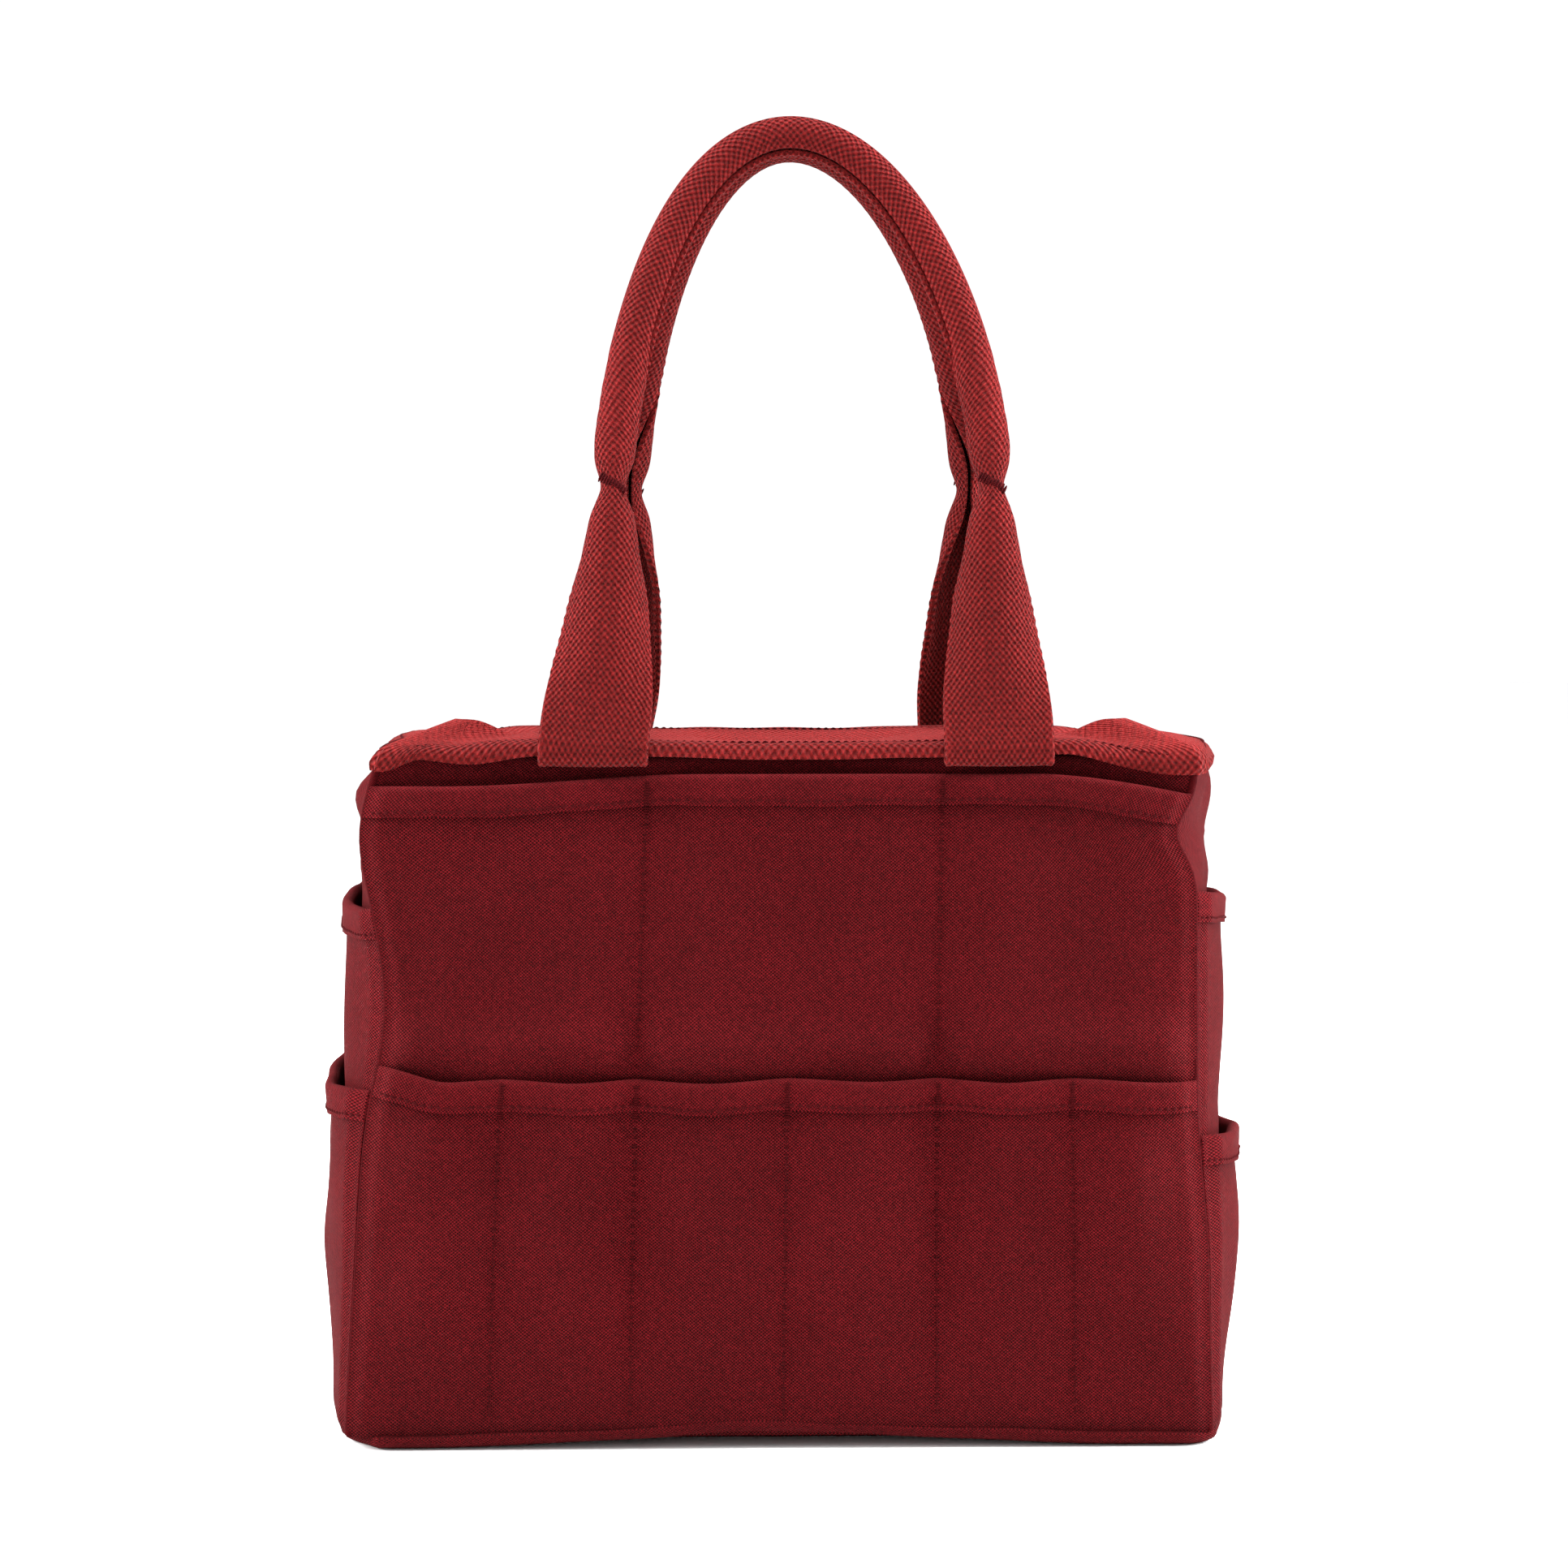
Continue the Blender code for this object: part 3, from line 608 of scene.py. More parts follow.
def upper_top(x):
    """Height of the upper mouths: a little lower to the left, and sagging towards the right corner."""
    dip = 0.0040 * smooth((-x - 0.035) / 0.085)
    return UPPER_MOUTH - dip - 0.0070 * np.clip((x - 0.085) / 0.058, 0, 1) ** 1.6


def lower_top(x):
    """Height of the lower mouths: a little lower between seams, higher at the left corner."""
    rise = 0.0045 * smooth((-x - 0.116) / 0.03) - 0.0016 * smooth((x - 0.115) / 0.03)
    return LOWER_MOUTH + rise - 0.0011 * fullness(seam_distance(x, LOWER_SEAMS))


def layer_off(x, t, top, seams, seed):
    """How far a pocket's inner face stands off the layer behind it."""
    distance = seam_distance(x, seams)
    open_share = smooth((t - SOLE_TOP) / 0.070)
    sway = 1 + ripple(x, t, seed, 0.050, 0.22)
    off = mix(SEWN, MOUTH, smooth(t / top)) + EASE * fullness(distance) * open_share * sway
    return off + pucker(distance, t) * open_share


def upper_off(a, t, seed=5):
    """The upper panel's distance from the wall, with a belly just over the lower mouths."""
    x = a * FRONT_SPREAD
    off = layer_off(x, t, UPPER_RUN, UPPER_SEAMS, seed)
    belly = BELLY * bump(t, BELLY_HEIGHT, BELLY_REACH) * fullness(seam_distance(x, UPPER_SEAMS), 0.012)
    return (off + belly) * pinch(a, FRONT_SPREAD)


def lower_off(a, t, seed=7):
    """The lower panel's distance: the upper one's, its cloth, and the lower pockets' own."""
    x = a * FRONT_SPREAD
    thin = pinch(a, FRONT_SPREAD)
    behind = upper_off(a, np.minimum(t, 0.131), seed + 20) + CANVAS_THICKNESS * thin
    return behind + layer_off(x, t, LOWER_RUN, LOWER_SEAMS, seed) * thin


# %% Layers of the short ends
END_EASE = 0.0026
END_UPPER_TOP = 0.188
END_LOWER_TOP = {LEFT: 0.1245, RIGHT: 0.1030}
END_SLOPE = {LEFT: -0.0050, RIGHT: 0.0050}     # the front corner's height above the back one's


def end_off(b, t, top, seed):
    """A side pocket's distance from the layer behind it, full between the corner seams."""
    full = fullness((1 - np.abs(b)) * END_SPREAD, 0.030)
    sway = 1 + ripple(b * END_SPREAD, t, seed, 0.045, 0.20)
    return mix(SEWN, MOUTH, smooth(t / top)) + END_EASE * full * smooth((t - SOLE_TOP) / 0.07) * sway


def end_upper_off(b, t):
    """The upper side pocket's distance from the end wall."""
    return end_off(b, t, END_UPPER_TOP, 51) * pinch(b, END_SPREAD)


def end_lower_off(side):
    """The lower side pocket's distance: the upper one's, its cloth, and its own."""

    def off(b, t):
        """The sum, pressed thin beside the corners."""
        thin = pinch(b, END_SPREAD)
        own = end_off(b, t, END_LOWER_TOP[side], 61 + side)
        return end_upper_off(b, t) + (CANVAS_THICKNESS + own) * thin

    return off


# %% Tiers of pockets
END_SAG = 0.003


def long_tiers(x):
    """Name, mouth height, distance and division seams of both panels on a long side."""
    return ("upper", upper_top(x), upper_off, UPPER_SEAMS), ("lower", lower_top(x), lower_off, LOWER_SEAMS)


def end_tiers(side, b):
    """Name, mouth height and distance of both side pockets: the mouths slope, and sag by 1 - b squared."""
    upper, lower = (level - END_SLOPE[side] * 0.5 * b - END_SAG * (1 - b * b)
                    for level in (END_UPPER_TOP, END_LOWER_TOP[side]))
    return ("upper", upper, end_upper_off), ("lower", lower, end_lower_off(side))


# %% A pocket panel
BINDING_DEPTH = 0.0086
BINDING_CLOTH = 0.0012
FOOT = 0.0045                # where the panels are tucked behind the sole's edge
TUCK_RUN, TUCK_SHARE = 0.0045, 0.8
UNDER_SHADE, SEAM_SHADE, FOOT_SHADE = 0.45, 0.08, 0.5


def seam_shadow(share, spread, t, top, seams):
    """Shade that lies in the creases: under the binding, along seams and corners and at the foot."""
    lines = np.array([-spread, *seams, spread])
    beside = np.abs((share * spread)[..., None] - lines).min(axis=-1)
    under = np.exp(-np.clip(top - BINDING_DEPTH - t, 0, 1) / 0.0016)
    at_foot = np.exp((FOOT - t) / 0.004)
    return -np.clip(UNDER_SHADE * under + SEAM_SHADE * np.exp(-beside / 0.0020) + FOOT_SHADE * at_foot, 0, 1)


def make_pocket(name, place, share, spread, top, off, size, node, seams=()):
    """A pocket panel: rows run from its foot to its mouth, about a size apart."""
    share = share[:, None]
    rows = np.linspace(0, 1, int((float(np.max(top)) - FOOT) / size))[None, :]
    t = mix(FOOT, top[:, None], rows)
    thin = CANVAS_THICKNESS * pinch(share, spread)
    away = off(share, t)
    tucked = 1 - smooth((t - FOOT) / TUCK_RUN)
    away = away * (1 - TUCK_SHARE * tucked)
    shadow = seam_shadow(share, spread, t, top[:, None], seams)
    outer = place(share, t, away + thin)
    pocket = shell(name, outer, place(share, t, away), cloth_uv(share * spread, t), canvas, shadow)
    place_piece(pocket, "bag", "canvas", node)
    declare(outer)


# %% [markdown]
# ## Bindings
# Each mouth is finished with a strip folded over the raw edge and sewn through once. A bevelled curve
# would give it the right outline, but a cross-section with two legs and a round fold, carried along the
# mouth, also has the strip's own thickness and the shadow under its edge.

# %% A binding
def binding_wave(x):
    """A hand-guided edge: the strip is up to a thirtieth deeper or shallower from place to place."""
    return 1 + 0.020 * np.sin(x * 2 * math.pi / 0.037) + 0.010 * np.sin(x * 2 * math.pi / 0.0131)


def make_binding(name, place, share, spread, top, off, node):
    """A strip folded over a mouth: a leg inside, half a circle over the edge and a leg outside."""
    turn = np.linspace(math.pi, 0, 9)
    half = CANVAS_THICKNESS / 2 + GAP
    legs = 6
    drop = np.linspace(-1, 0, legs + 1)[:-1]
    rise = np.concatenate((drop * BINDING_DEPTH, 0 * turn, drop[::-1] * BINDING_DEPTH))[None, :]
    across = np.concatenate((-np.ones(legs), np.cos(turn), np.ones(legs)))[None, :]
    arch = np.concatenate((np.zeros(legs), np.sin(turn), np.zeros(legs)))[None, :]
    share = share[:, None]
    thin = pinch(share, spread)
    t = top[:, None] + rise * binding_wave(share * spread)
    panel = off(share, np.minimum(t, top[:, None])) + CANVAS_THICKNESS / 2 * thin

    def face(extra):
        """The strip's inner face for 0 and its outer face for its own thickness."""
        reach = (half + extra) * thin
        return place(share, t + arch * (half + extra), panel + across * reach)

    bend = BINDING_DEPTH + (half + BINDING_CLOTH) * (math.pi - turn)
    inside, outside = (drop + 1) * BINDING_DEPTH, bend[-1] - drop[::-1] * BINDING_DEPTH
    length = np.concatenate((inside, bend, outside))[None, :]
    patchy = 0.75 + 0.25 * np.sin(share * spread * 310)
    wear_and_painted_light = bump(np.arange(across.size), across.size // 2, 3.0)[None, :] * patchy
    uv = cloth_uv(share * spread, length)
    strip = shell(name, face(BINDING_CLOTH), face(0.0), uv, binding_cloth, wear_and_painted_light)
    place_piece(strip, "bag", "binding", node)


# %% Make the pockets and bindings
FINE_ACROSS = np.linspace(-1, 1, 161)
for word, facing in (("front", FRONT), ("back", BACK)):
    place = front_point(facing)
    for tier, top, off, seams in long_tiers(FINE_ACROSS * FRONT_SPREAD):
        make_pocket(f"{word}_{tier}_pockets", place, FINE_ACROSS, FRONT_SPREAD, top, off, 0.0018,
                    f"{word}_{tier}_pocket", seams)
        make_binding(f"{word}_{tier}_mouth_binding", place, FINE_ACROSS, FRONT_SPREAD, top, off,
                     f"{word}_{tier}_binding")
for word, side in (("left", LEFT), ("right", RIGHT)):
    place = end_point(side)
    b = np.linspace(-1, 1, 101)
    for tier, top, off in end_tiers(side, b):
        make_pocket(f"{word}_{tier}_pocket_cloth", place, b, END_SPREAD, top, off, 0.002,
                    f"{word}_{tier}_pocket")
        make_binding(f"{word}_{tier}_mouth_binding", place, b, END_SPREAD, top, off,
                     f"{word}_{tier}_binding")

# %% [markdown]
# ## Sole
# The bottom is a tray of the same canvas whose edge is folded into a narrow welt. Between the corners the
# welt arches a few millimetres off the ground, as on any soft bag. It is a small profile carried round
# the plan.

# %% The sole's outline
def resampled(points, run, at):
    """Points at other distances along the line, on the straight pieces between its own."""
    return np.stack([np.interp(at, run, column) for column in points.T], axis=1)


def plan(count):
    """The walls' outline at the floor, evenly spaced: straight sides, bellied ends and round corners."""
    corner = 0.009
    quarter = np.linspace(0, math.pi / 2, 14)
    width, depth = BASE_HALF_WIDTH, BASE_HALF_DEPTH
    side = np.linspace(-1, 1, 40)[1:-1]
    run_x = np.concatenate((
        np.linspace(-width + corner, width - corner, 80)[:-1],
        width - corner + corner * np.sin(quarter),
        width + 0.0085 * (1 - side ** 2),
    ))
    run_y = np.concatenate((
        np.full(79, -depth),
        -depth + corner - corner * np.cos(quarter),
        side * (depth - corner),
    ))
    half = np.stack((run_x, run_y), axis=1)
    loop = np.concatenate((half, -half))
    closing = np.concatenate((loop, loop[:1]))
    run = run_along(closing)
    at = np.linspace(0, run[-1], count, endpoint=False)
    return resampled(closing, run, at), at


# %% Make the sole
ARCH = 0.0046                # how far the welt clears the ground halfway along a side
WELT = 0.0056                # its height


def make_sole():
    """The welt is a profile carried round the plan; inside it lies a flat double grid."""
    outline, run = plan(430)
    ahead = np.roll(outline, -2, axis=0) - np.roll(outline, 2, axis=0)
    ahead /= np.linalg.norm(ahead, axis=1, keepdims=True)
    outward = np.stack((ahead[:, 1], -ahead[:, 0]), axis=1)
    x, y = outline[:, 0], outline[:, 1]
    along_side = smooth((np.abs(y) - 0.060) / 0.015)
    arch = ARCH * along_side * np.cos(np.clip(x / 0.128, -1, 1) * math.pi / 2) ** 2
    arch = arch + along_side * ripple(x, y, 71, 0.05, 0.0003) * bump(x, 0, 0.09)
    welt = WELT + ripple(x, y, 72, 0.06, 0.0004)
    # Each row: reach outwards, share of the arch, height over the arch.
    profile = [
        (-0.0300, 0.0, 0.0000), (-0.0120, 0.4, 0.0000), (-0.0040, 1.0, 0.0000), (0.0004, 1.0, 0.0005),
        (0.0024, 1.0, 0.0016), (0.0032, 1.0, 0.0030), (0.0030, 1.0, 0.0046), (0.0016, 1.0, 0.0056),
        (-0.0010, 1.0, 0.0056), (-0.0046, 1.0, 0.0048), (-0.0056, 1.0, 0.0030), (-0.0120, 0.4, 0.0016),
        (-0.0300, 0.0, 0.0014),
    ]
    reach, share, level = (np.array(column)[None, :] for column in zip(*profile))
    z = np.maximum(arch[:, None] * share + level * (welt / WELT)[:, None], 0.0)
    flat = outline[:, None] + outward[:, None] * reach[..., None]
    loop = np.concatenate((flat, z[..., None]), axis=-1)
    half = loop.shape[1] // 2
    outer, inner = loop[:, :half + 1], loop[:, :half - 1:-1]
    u = np.concatenate((run, [run[-1] + run[1]]))[:, None]
    uv = cloth_uv(u, (np.arange(half + 1) * 0.002)[None, :])
    welt_piece = shell("sole_welt", outer, inner, uv, canvas, 0.25, around=True)
    place_piece(welt_piece, "bag", "canvas", "bottom_panel")
    x, y = np.linspace(-1, 1, 40)[:, None] * 0.130, np.linspace(-1, 1, 24)[None, :] * 0.062
    low, high = (np.stack(np.broadcast_arrays(x, y, z), axis=-1) for z in (0.0002, 0.0014))
    floor_cloth = shell("sole_floor", high, low, cloth_uv(x, y), canvas)
    place_piece(floor_cloth, "bag", "canvas")
    declare(high)


make_sole()

# %% [markdown]
# ## Rim band
# A coarse cotton webbing is sewn round the rim. It leans in over the opening, stands up in a peak at the
# front corners, and its woven edge is bumpy: each bump is one turn of the weft. A profile with rounded
# edges is carried round the whole mouth; at a corner it swings through a quarter turn.

# %% Make the band
WEBBING = 0.0022
BAND_OFF = WEBBING + 2 * GAP # the band's distance from the wall over the straps' ends
BAND_SEWN = 0.0006           # and elsewhere
WEFT = 0.00206               # from one turn of the weft to the next
BAND_CUT = 0.028             # the band's width, for its weave


def band_low_front(a):
    """The band's lower edge on a long side: it dips before the left corner and droops at the right."""
    x = a * FRONT_SPREAD
    dip = 0.0022 * bump(x, -0.113, 0.014) + 0.0045 * smooth((-x - 0.130) / 0.013)
    dip = dip + 0.0012 * bump(x, 0.0, 0.05)
    return 0.2391 - dip - 0.0060 * smooth((x - 0.095) / 0.045)


def band_low_end(side, b):
    """The band's lower edge on an end, a little higher between its corners."""
    corner = float(band_low_front(np.array(float(side))))
    return corner + 0.0030 * (1 - b * b)


def band_lift(a):
    """1 behind the straps, 0 at the corners, by a soft step of the share."""
    return 1 - smooth((np.abs(a) - 0.72) / 0.16)


def make_band():
    """Four strips with quarter turns between them make one ring; gives its length."""
    across = np.linspace(0, 1, 19)[None, :]
    fat = np.sqrt(np.clip(1 - np.clip((np.abs(across - 0.5) * 2 - 0.90) / 0.10, 0, 1) ** 2, 0.02, 1))
    top = HEIGHT + COLLAR + 0.0006
    fine, sides = np.linspace(-1, 1, 420)[:, None], np.linspace(-1, 1, 215)[:, None]

    def strip(place, share, low, run, lifted):
        """The outer and inner face; lifted is 1 over the handles' ends and 0 where the band is sewn down."""
        t = mix(low, top, across)
        edge = bump(across, 0.03, 0.05) * 0.00028 * np.sin(run * 2 * math.pi / WEFT)
        lump = (ripple(run, t, 81, 0.035, 0.0005) * (1 - across) + edge) * smooth((1 - np.abs(share)) / 0.06)
        middle = mix(BAND_SEWN, BAND_OFF, lifted) + WEBBING / 2 + lump
        return [place(share, t, middle + side * WEBBING / 2 * fat) for side in (1, -1)]

    def swing(first, second):
        """A quarter turn between two edge columns, round the inner corner that they share."""
        turn = np.linspace(0, math.pi / 2, 7)[1:-1, None, None]
        made = []
        for f, s in zip(first, second):
            hub = np.stack((f[:, 0], s[:, 1], (f[:, 2] + s[:, 2]) / 2), axis=-1)
            made.append(hub + (f - hub) * np.cos(turn) + (s - hub) * np.sin(turn))
        return made

    lifted = band_lift(fine)
    front = strip(front_point(FRONT), fine, band_low_front(fine), fine * FRONT_SPREAD, lifted)
    right = strip(end_point(RIGHT), sides, band_low_end(RIGHT, sides), sides * END_SPREAD, 0.0)
    back = strip(front_point(BACK), -fine, band_low_front(-fine), fine * FRONT_SPREAD, lifted)
    left = strip(end_point(LEFT), -sides, band_low_end(LEFT, sides), sides * END_SPREAD, 0.0)
    runs = [front, right, back, left]
    grids = []
    for here, following in zip(runs, runs[1:] + runs[:1]):
        grids.append(here)
        grids.append(swing([g[-1] for g in here], [g[0] for g in following]))
    outer, inner = (np.concatenate([g[k] for g in grids]) for k in range(2))
    middle = outer[:, 4]
    run = run_along(np.concatenate((middle, middle[:1])))
    uv = cloth_uv(run[:, None], across * BAND_CUT)[:, :, ::-1]
    # Painted highlight: the band's leaning top is made paler for the light from above; its lower edge is a
    # little paler too.
    wear_and_painted_light = 0.90 * smooth((across - 0.10) / 0.25) + 0.25 * bump(across, 0.0, 0.06)
    band = shell("rim_webbing", outer, inner, uv, webbing, wear_and_painted_light, around=True)
    place_piece(band, "bag", "webbing", "rim_band")
    return run[-1]


print("band length:", round(float(make_band()), 3), "m")

# %% [markdown]
# ## Handles
# Each handle is one long webbing strap. Its end is tucked under the rim band, folds round the band's
# lower edge and rises in front of it. Above the band the flat strap curls up on itself until its two
# woven edges meet, and that roll is the grip; a short tack holds the roll where it starts. The
# cross-section is an arc of a fixed length whose bend grows from flat to almost a full circle, which is
# exactly what rolling a strap does.

# %% The strap's route
STRAP_WIDTH = 0.038
STRAP_OFF = BAND_OFF + WEBBING + GAP + WEBBING / 2
STRAP_BASE = 0.238           # the height on the wall that the strap's distance is measured from
HINGE_HEIGHT = 0.243
FOLD_HEIGHT = 0.2398         # where the strap turns round the band's lower edge
TAB_LENGTH = 0.016           # how far the tucked part reaches above where the lean starts
GRIP_START = 0.0965
HANDLE_REACH = 0.2267
STRAP_HALF_SPACING = 0.070
GRIP_SPREAD = {FRONT: (0.0662, 0.0662), BACK: (0.0615, 0.0650)}      # left and right half of each grip
ARCH_POWER = 0.87
GRIP_HALF_GAP = 0.008
GRIP_BOW = 0.003             # how far the whole grip bows to the right halfway up
STATIONS = 540


def strap_route(facing):
    """The strap's middle line for the front: tab, fold, rise, arch and the same down the other side.

    In the handle's leaning plane the arch is x = w cos(t), h = start + rise sin(t) to a power of 1 / 0.87.
    """
    wall = float(half_depth(STRAP_BASE))
    tilt = math.asin((wall + STRAP_OFF - GRIP_HALF_GAP) / HANDLE_REACH)
    tab_off = GAP + WEBBING / 2
    tab_t = np.linspace(HEIGHT + TAB_LENGTH, FOLD_HEIGHT, 16)
    tab = front_point(facing)(np.full_like(tab_t, 0.5), tab_t, tab_off) * np.array([1.0, -facing, 1.0])
    turn = np.linspace(0, math.pi, 12)[1:-1]
    radius, middle = (STRAP_OFF - tab_off) / 2, (STRAP_OFF + tab_off) / 2
    fold_y = -(wall + middle - radius * np.cos(turn))
    fold_z = FOLD_HEIGHT - radius * np.sin(turn)
    under_y, under_z = np.concatenate((tab[:, 1], fold_y)), np.concatenate((tab[:, 2], fold_z))
    rise = np.linspace(0, 1, 60)[:-1]
    turn = np.linspace(0, math.pi / 2, 160)
    h = np.concatenate((rise * GRIP_START,
                        GRIP_START + (HANDLE_REACH - GRIP_START) * np.sin(turn) ** (1 / ARCH_POWER)))
    centre = TOP_SHIFT + GRIP_BOW * np.sin(math.pi * h / HANDLE_REACH)
    y, z = -(wall + STRAP_OFF) + h * math.sin(tilt), HINGE_HEIGHT + h * math.cos(tilt)
    legs = []
    for side, grip in zip((LEFT, RIGHT), GRIP_SPREAD[facing]):
        spread = np.concatenate((mix(grip, STRAP_HALF_SPACING, (1 - rise) ** 2), grip * np.cos(turn)))
        under_x = np.full_like(under_y, TOP_SHIFT + side * STRAP_HALF_SPACING)
        under = np.stack((under_x, under_y, under_z), axis=1)
        legs.append(np.concatenate((under, np.stack((centre + side * spread, y, z), axis=1))))
    path = np.concatenate((legs[0], legs[1][-2::-1]))
    run = run_along(path)
    at = np.linspace(0, run[-1], STATIONS)
    path = resampled(path, run, at)
    for _ in range(2):
        path[1:-1] = (path[:-2] + 2 * path[1:-1] + path[2:]) / 4
    return path, at, tilt


# %% The strap's directions and height
def strap_frame(path, tilt):
    """Across and outward directions: across is along crossed with the handle plane's own normal."""
    along = np.gradient(path, axis=0)
    along /= np.linalg.norm(along, axis=1, keepdims=True)
    plane = np.array([0.0, -math.cos(tilt), math.sin(tilt)])
    across = np.cross(along, plane)
    first_half = np.arange(len(path)) < len(path) / 2
    lower = path[:, 2] < HINGE_HEIGHT + 0.002
    across[lower & first_half] = (1.0, 0.0, 0.0)
    across[lower & ~first_half] = (-1.0, 0.0, 0.0)
    across -= along * np.einsum("ij,ij->i", across, along)[:, None]
    across /= np.linalg.norm(across, axis=1, keepdims=True)
    return across, np.cross(across, along)


def strap_height(path, tilt):
    """Height along the handle's plane above the hinge, below zero for the hidden tab."""
    folded = path[:, 2] < HINGE_HEIGHT + 0.0005
    return np.where(folded, -0.005, (path[:, 2] - HINGE_HEIGHT) / math.cos(tilt))


# %% The strap's section
CURL_HEIGHTS = (0.008, 0.025, 0.039, 0.060, 0.075, 0.086, 0.095)
CURL_SHARES = (0.0, 0.20, 0.37, 0.53, 0.76, 0.94, 1.0)
FLAT_CURL, CURL_GROWTH = 0.04, 3.00            # half the arc's angle, in radians
ACROSS_STRAP = np.linspace(-1, 1, 46) * STRAP_WIDTH / 2
RIB = 0.00016
BEAD, BEAD_SWING = 0.00025, 0.00022
SELVEDGE_WIDTH, ROUNDED = 0.0012, 0.0011


def strap_arc(height):
    """The section's middle line: across is sin(k s) / k, outward is (cos(k s) - sin(c) / c) / k.

    c is the curl, half the arc's angle, and k is c over half the width, so the arc keeps its length.
    """
    curl = FLAT_CURL + CURL_GROWTH * np.interp(height, CURL_HEIGHTS, CURL_SHARES)
    curl = np.convolve(np.pad(curl, 6, mode="edge"), np.full(13, 1 / 13), mode="valid")
    kappa = (curl / (STRAP_WIDTH / 2))[:, None]
    turn = kappa * ACROSS_STRAP[None, :]
    return np.sin(turn) / kappa, (np.cos(turn) - (np.sin(curl) / curl)[:, None]) / kappa, turn


def strap_depth(run):
    """Half the thickness, rounded at the edges, ribbed along and beaded at the selvedge; and the selvedge."""
    s = ACROSS_STRAP
    rib = RIB * np.cos(s * 2 * math.pi / WEFT)[None, :]
    selvedge = bump(np.abs(s), STRAP_WIDTH / 2 - SELVEDGE_WIDTH, 0.0010)[None, :]
    beads = selvedge * (BEAD + BEAD_SWING * np.sin(run * 2 * math.pi / (2 * WEFT))[:, None])
    edge = np.clip((np.abs(s) - (STRAP_WIDTH / 2 - ROUNDED)) / ROUNDED, 0, 1)
    fat = np.sqrt(np.clip(1 - edge ** 2, 0.03, 1))[None, :] * WEBBING / 2
    return fat + rib + beads, selvedge


# %% Make the handles
SLIT_TURN = math.radians(112)                  # the roll turns until its slit lies underneath
WAIST_DROP, WAIST_REACH = 0.002, 0.0075
WAIST_PINCH = (0.42, 0.12)                     # across and outward


def make_handle(word, facing):
    """Carry the section along the route, pinched at the waist and turned in the grip."""
    path, run, tilt = strap_route(facing)
    across, outward = strap_frame(path, tilt)
    height = strap_height(path, tilt)
    turning = (SLIT_TURN * smooth((height - GRIP_START - 0.006) / 0.05))[:, None]
    waist = bump(height, GRIP_START - WAIST_DROP, WAIST_REACH)[:, None]
    a, n, turn = strap_arc(height)
    depth, selvedge = strap_depth(run)

    def face(side):
        """One face of the strap: the arc moved out or in by the half thickness, pinched, then turned."""
        local_a = (a + side * depth * np.sin(turn)) * (1 - WAIST_PINCH[0] * waist)
        local_n = (n + side * depth * np.cos(turn)) * (1 - WAIST_PINCH[1] * waist)
        turned_a = local_a * np.cos(turning) - local_n * np.sin(turning)
        turned_n = local_a * np.sin(turning) + local_n * np.cos(turning)
        points = path[:, None] + turned_a[..., None] * across[:, None]
        points = points + turned_n[..., None] * outward[:, None]
        points[..., 1] *= -facing
        return points

    gripped = 0.25 * smooth((height - GRIP_START) / 0.04)[:, None]
    wear_and_painted_light = 0.30 * selvedge + gripped * bump(ACROSS_STRAP, 0, 0.006)[None, :]
    uv = cloth_uv(ACROSS_STRAP[None, :], run[:, None])
    strap = shell(f"{word}_strap", face(1), face(-1), uv, webbing, wear_and_painted_light)
    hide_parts(f"{word}_handle", f"{word}_left_handle_end", f"{word}_right_handle_end")
    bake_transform(strap)
    return run[-1]


for word, facing in (("front", FRONT), ("back", BACK)):
    print(f"{word} strap length:", round(float(make_handle(word, facing)), 3), "m")

# %% [markdown]
# ## Stitches
# Thread is what makes sewn cloth read as sewn. Each stitch is a small bead of thread, and a seam has
# hundreds, so one bead of 28 faces is worked out once and laid along a line of places and normals for all
# stitches at once.

# %% Lay stitches along a line
def evenly(points, pitch):
    """Resample a line of points at a pitch; gives the middles of the stitches and the way each one runs."""
    run = run_along(points)
    at = np.arange(pitch / 2, run[-1], pitch)
    middles = resampled(points, run, at)
    ways = resampled(points, run, at + 0.0003) - resampled(points, run, at - 0.0003)
    return middles, ways / np.linalg.norm(ways, axis=1, keepdims=True), at / max(run[-1], 1e-9)


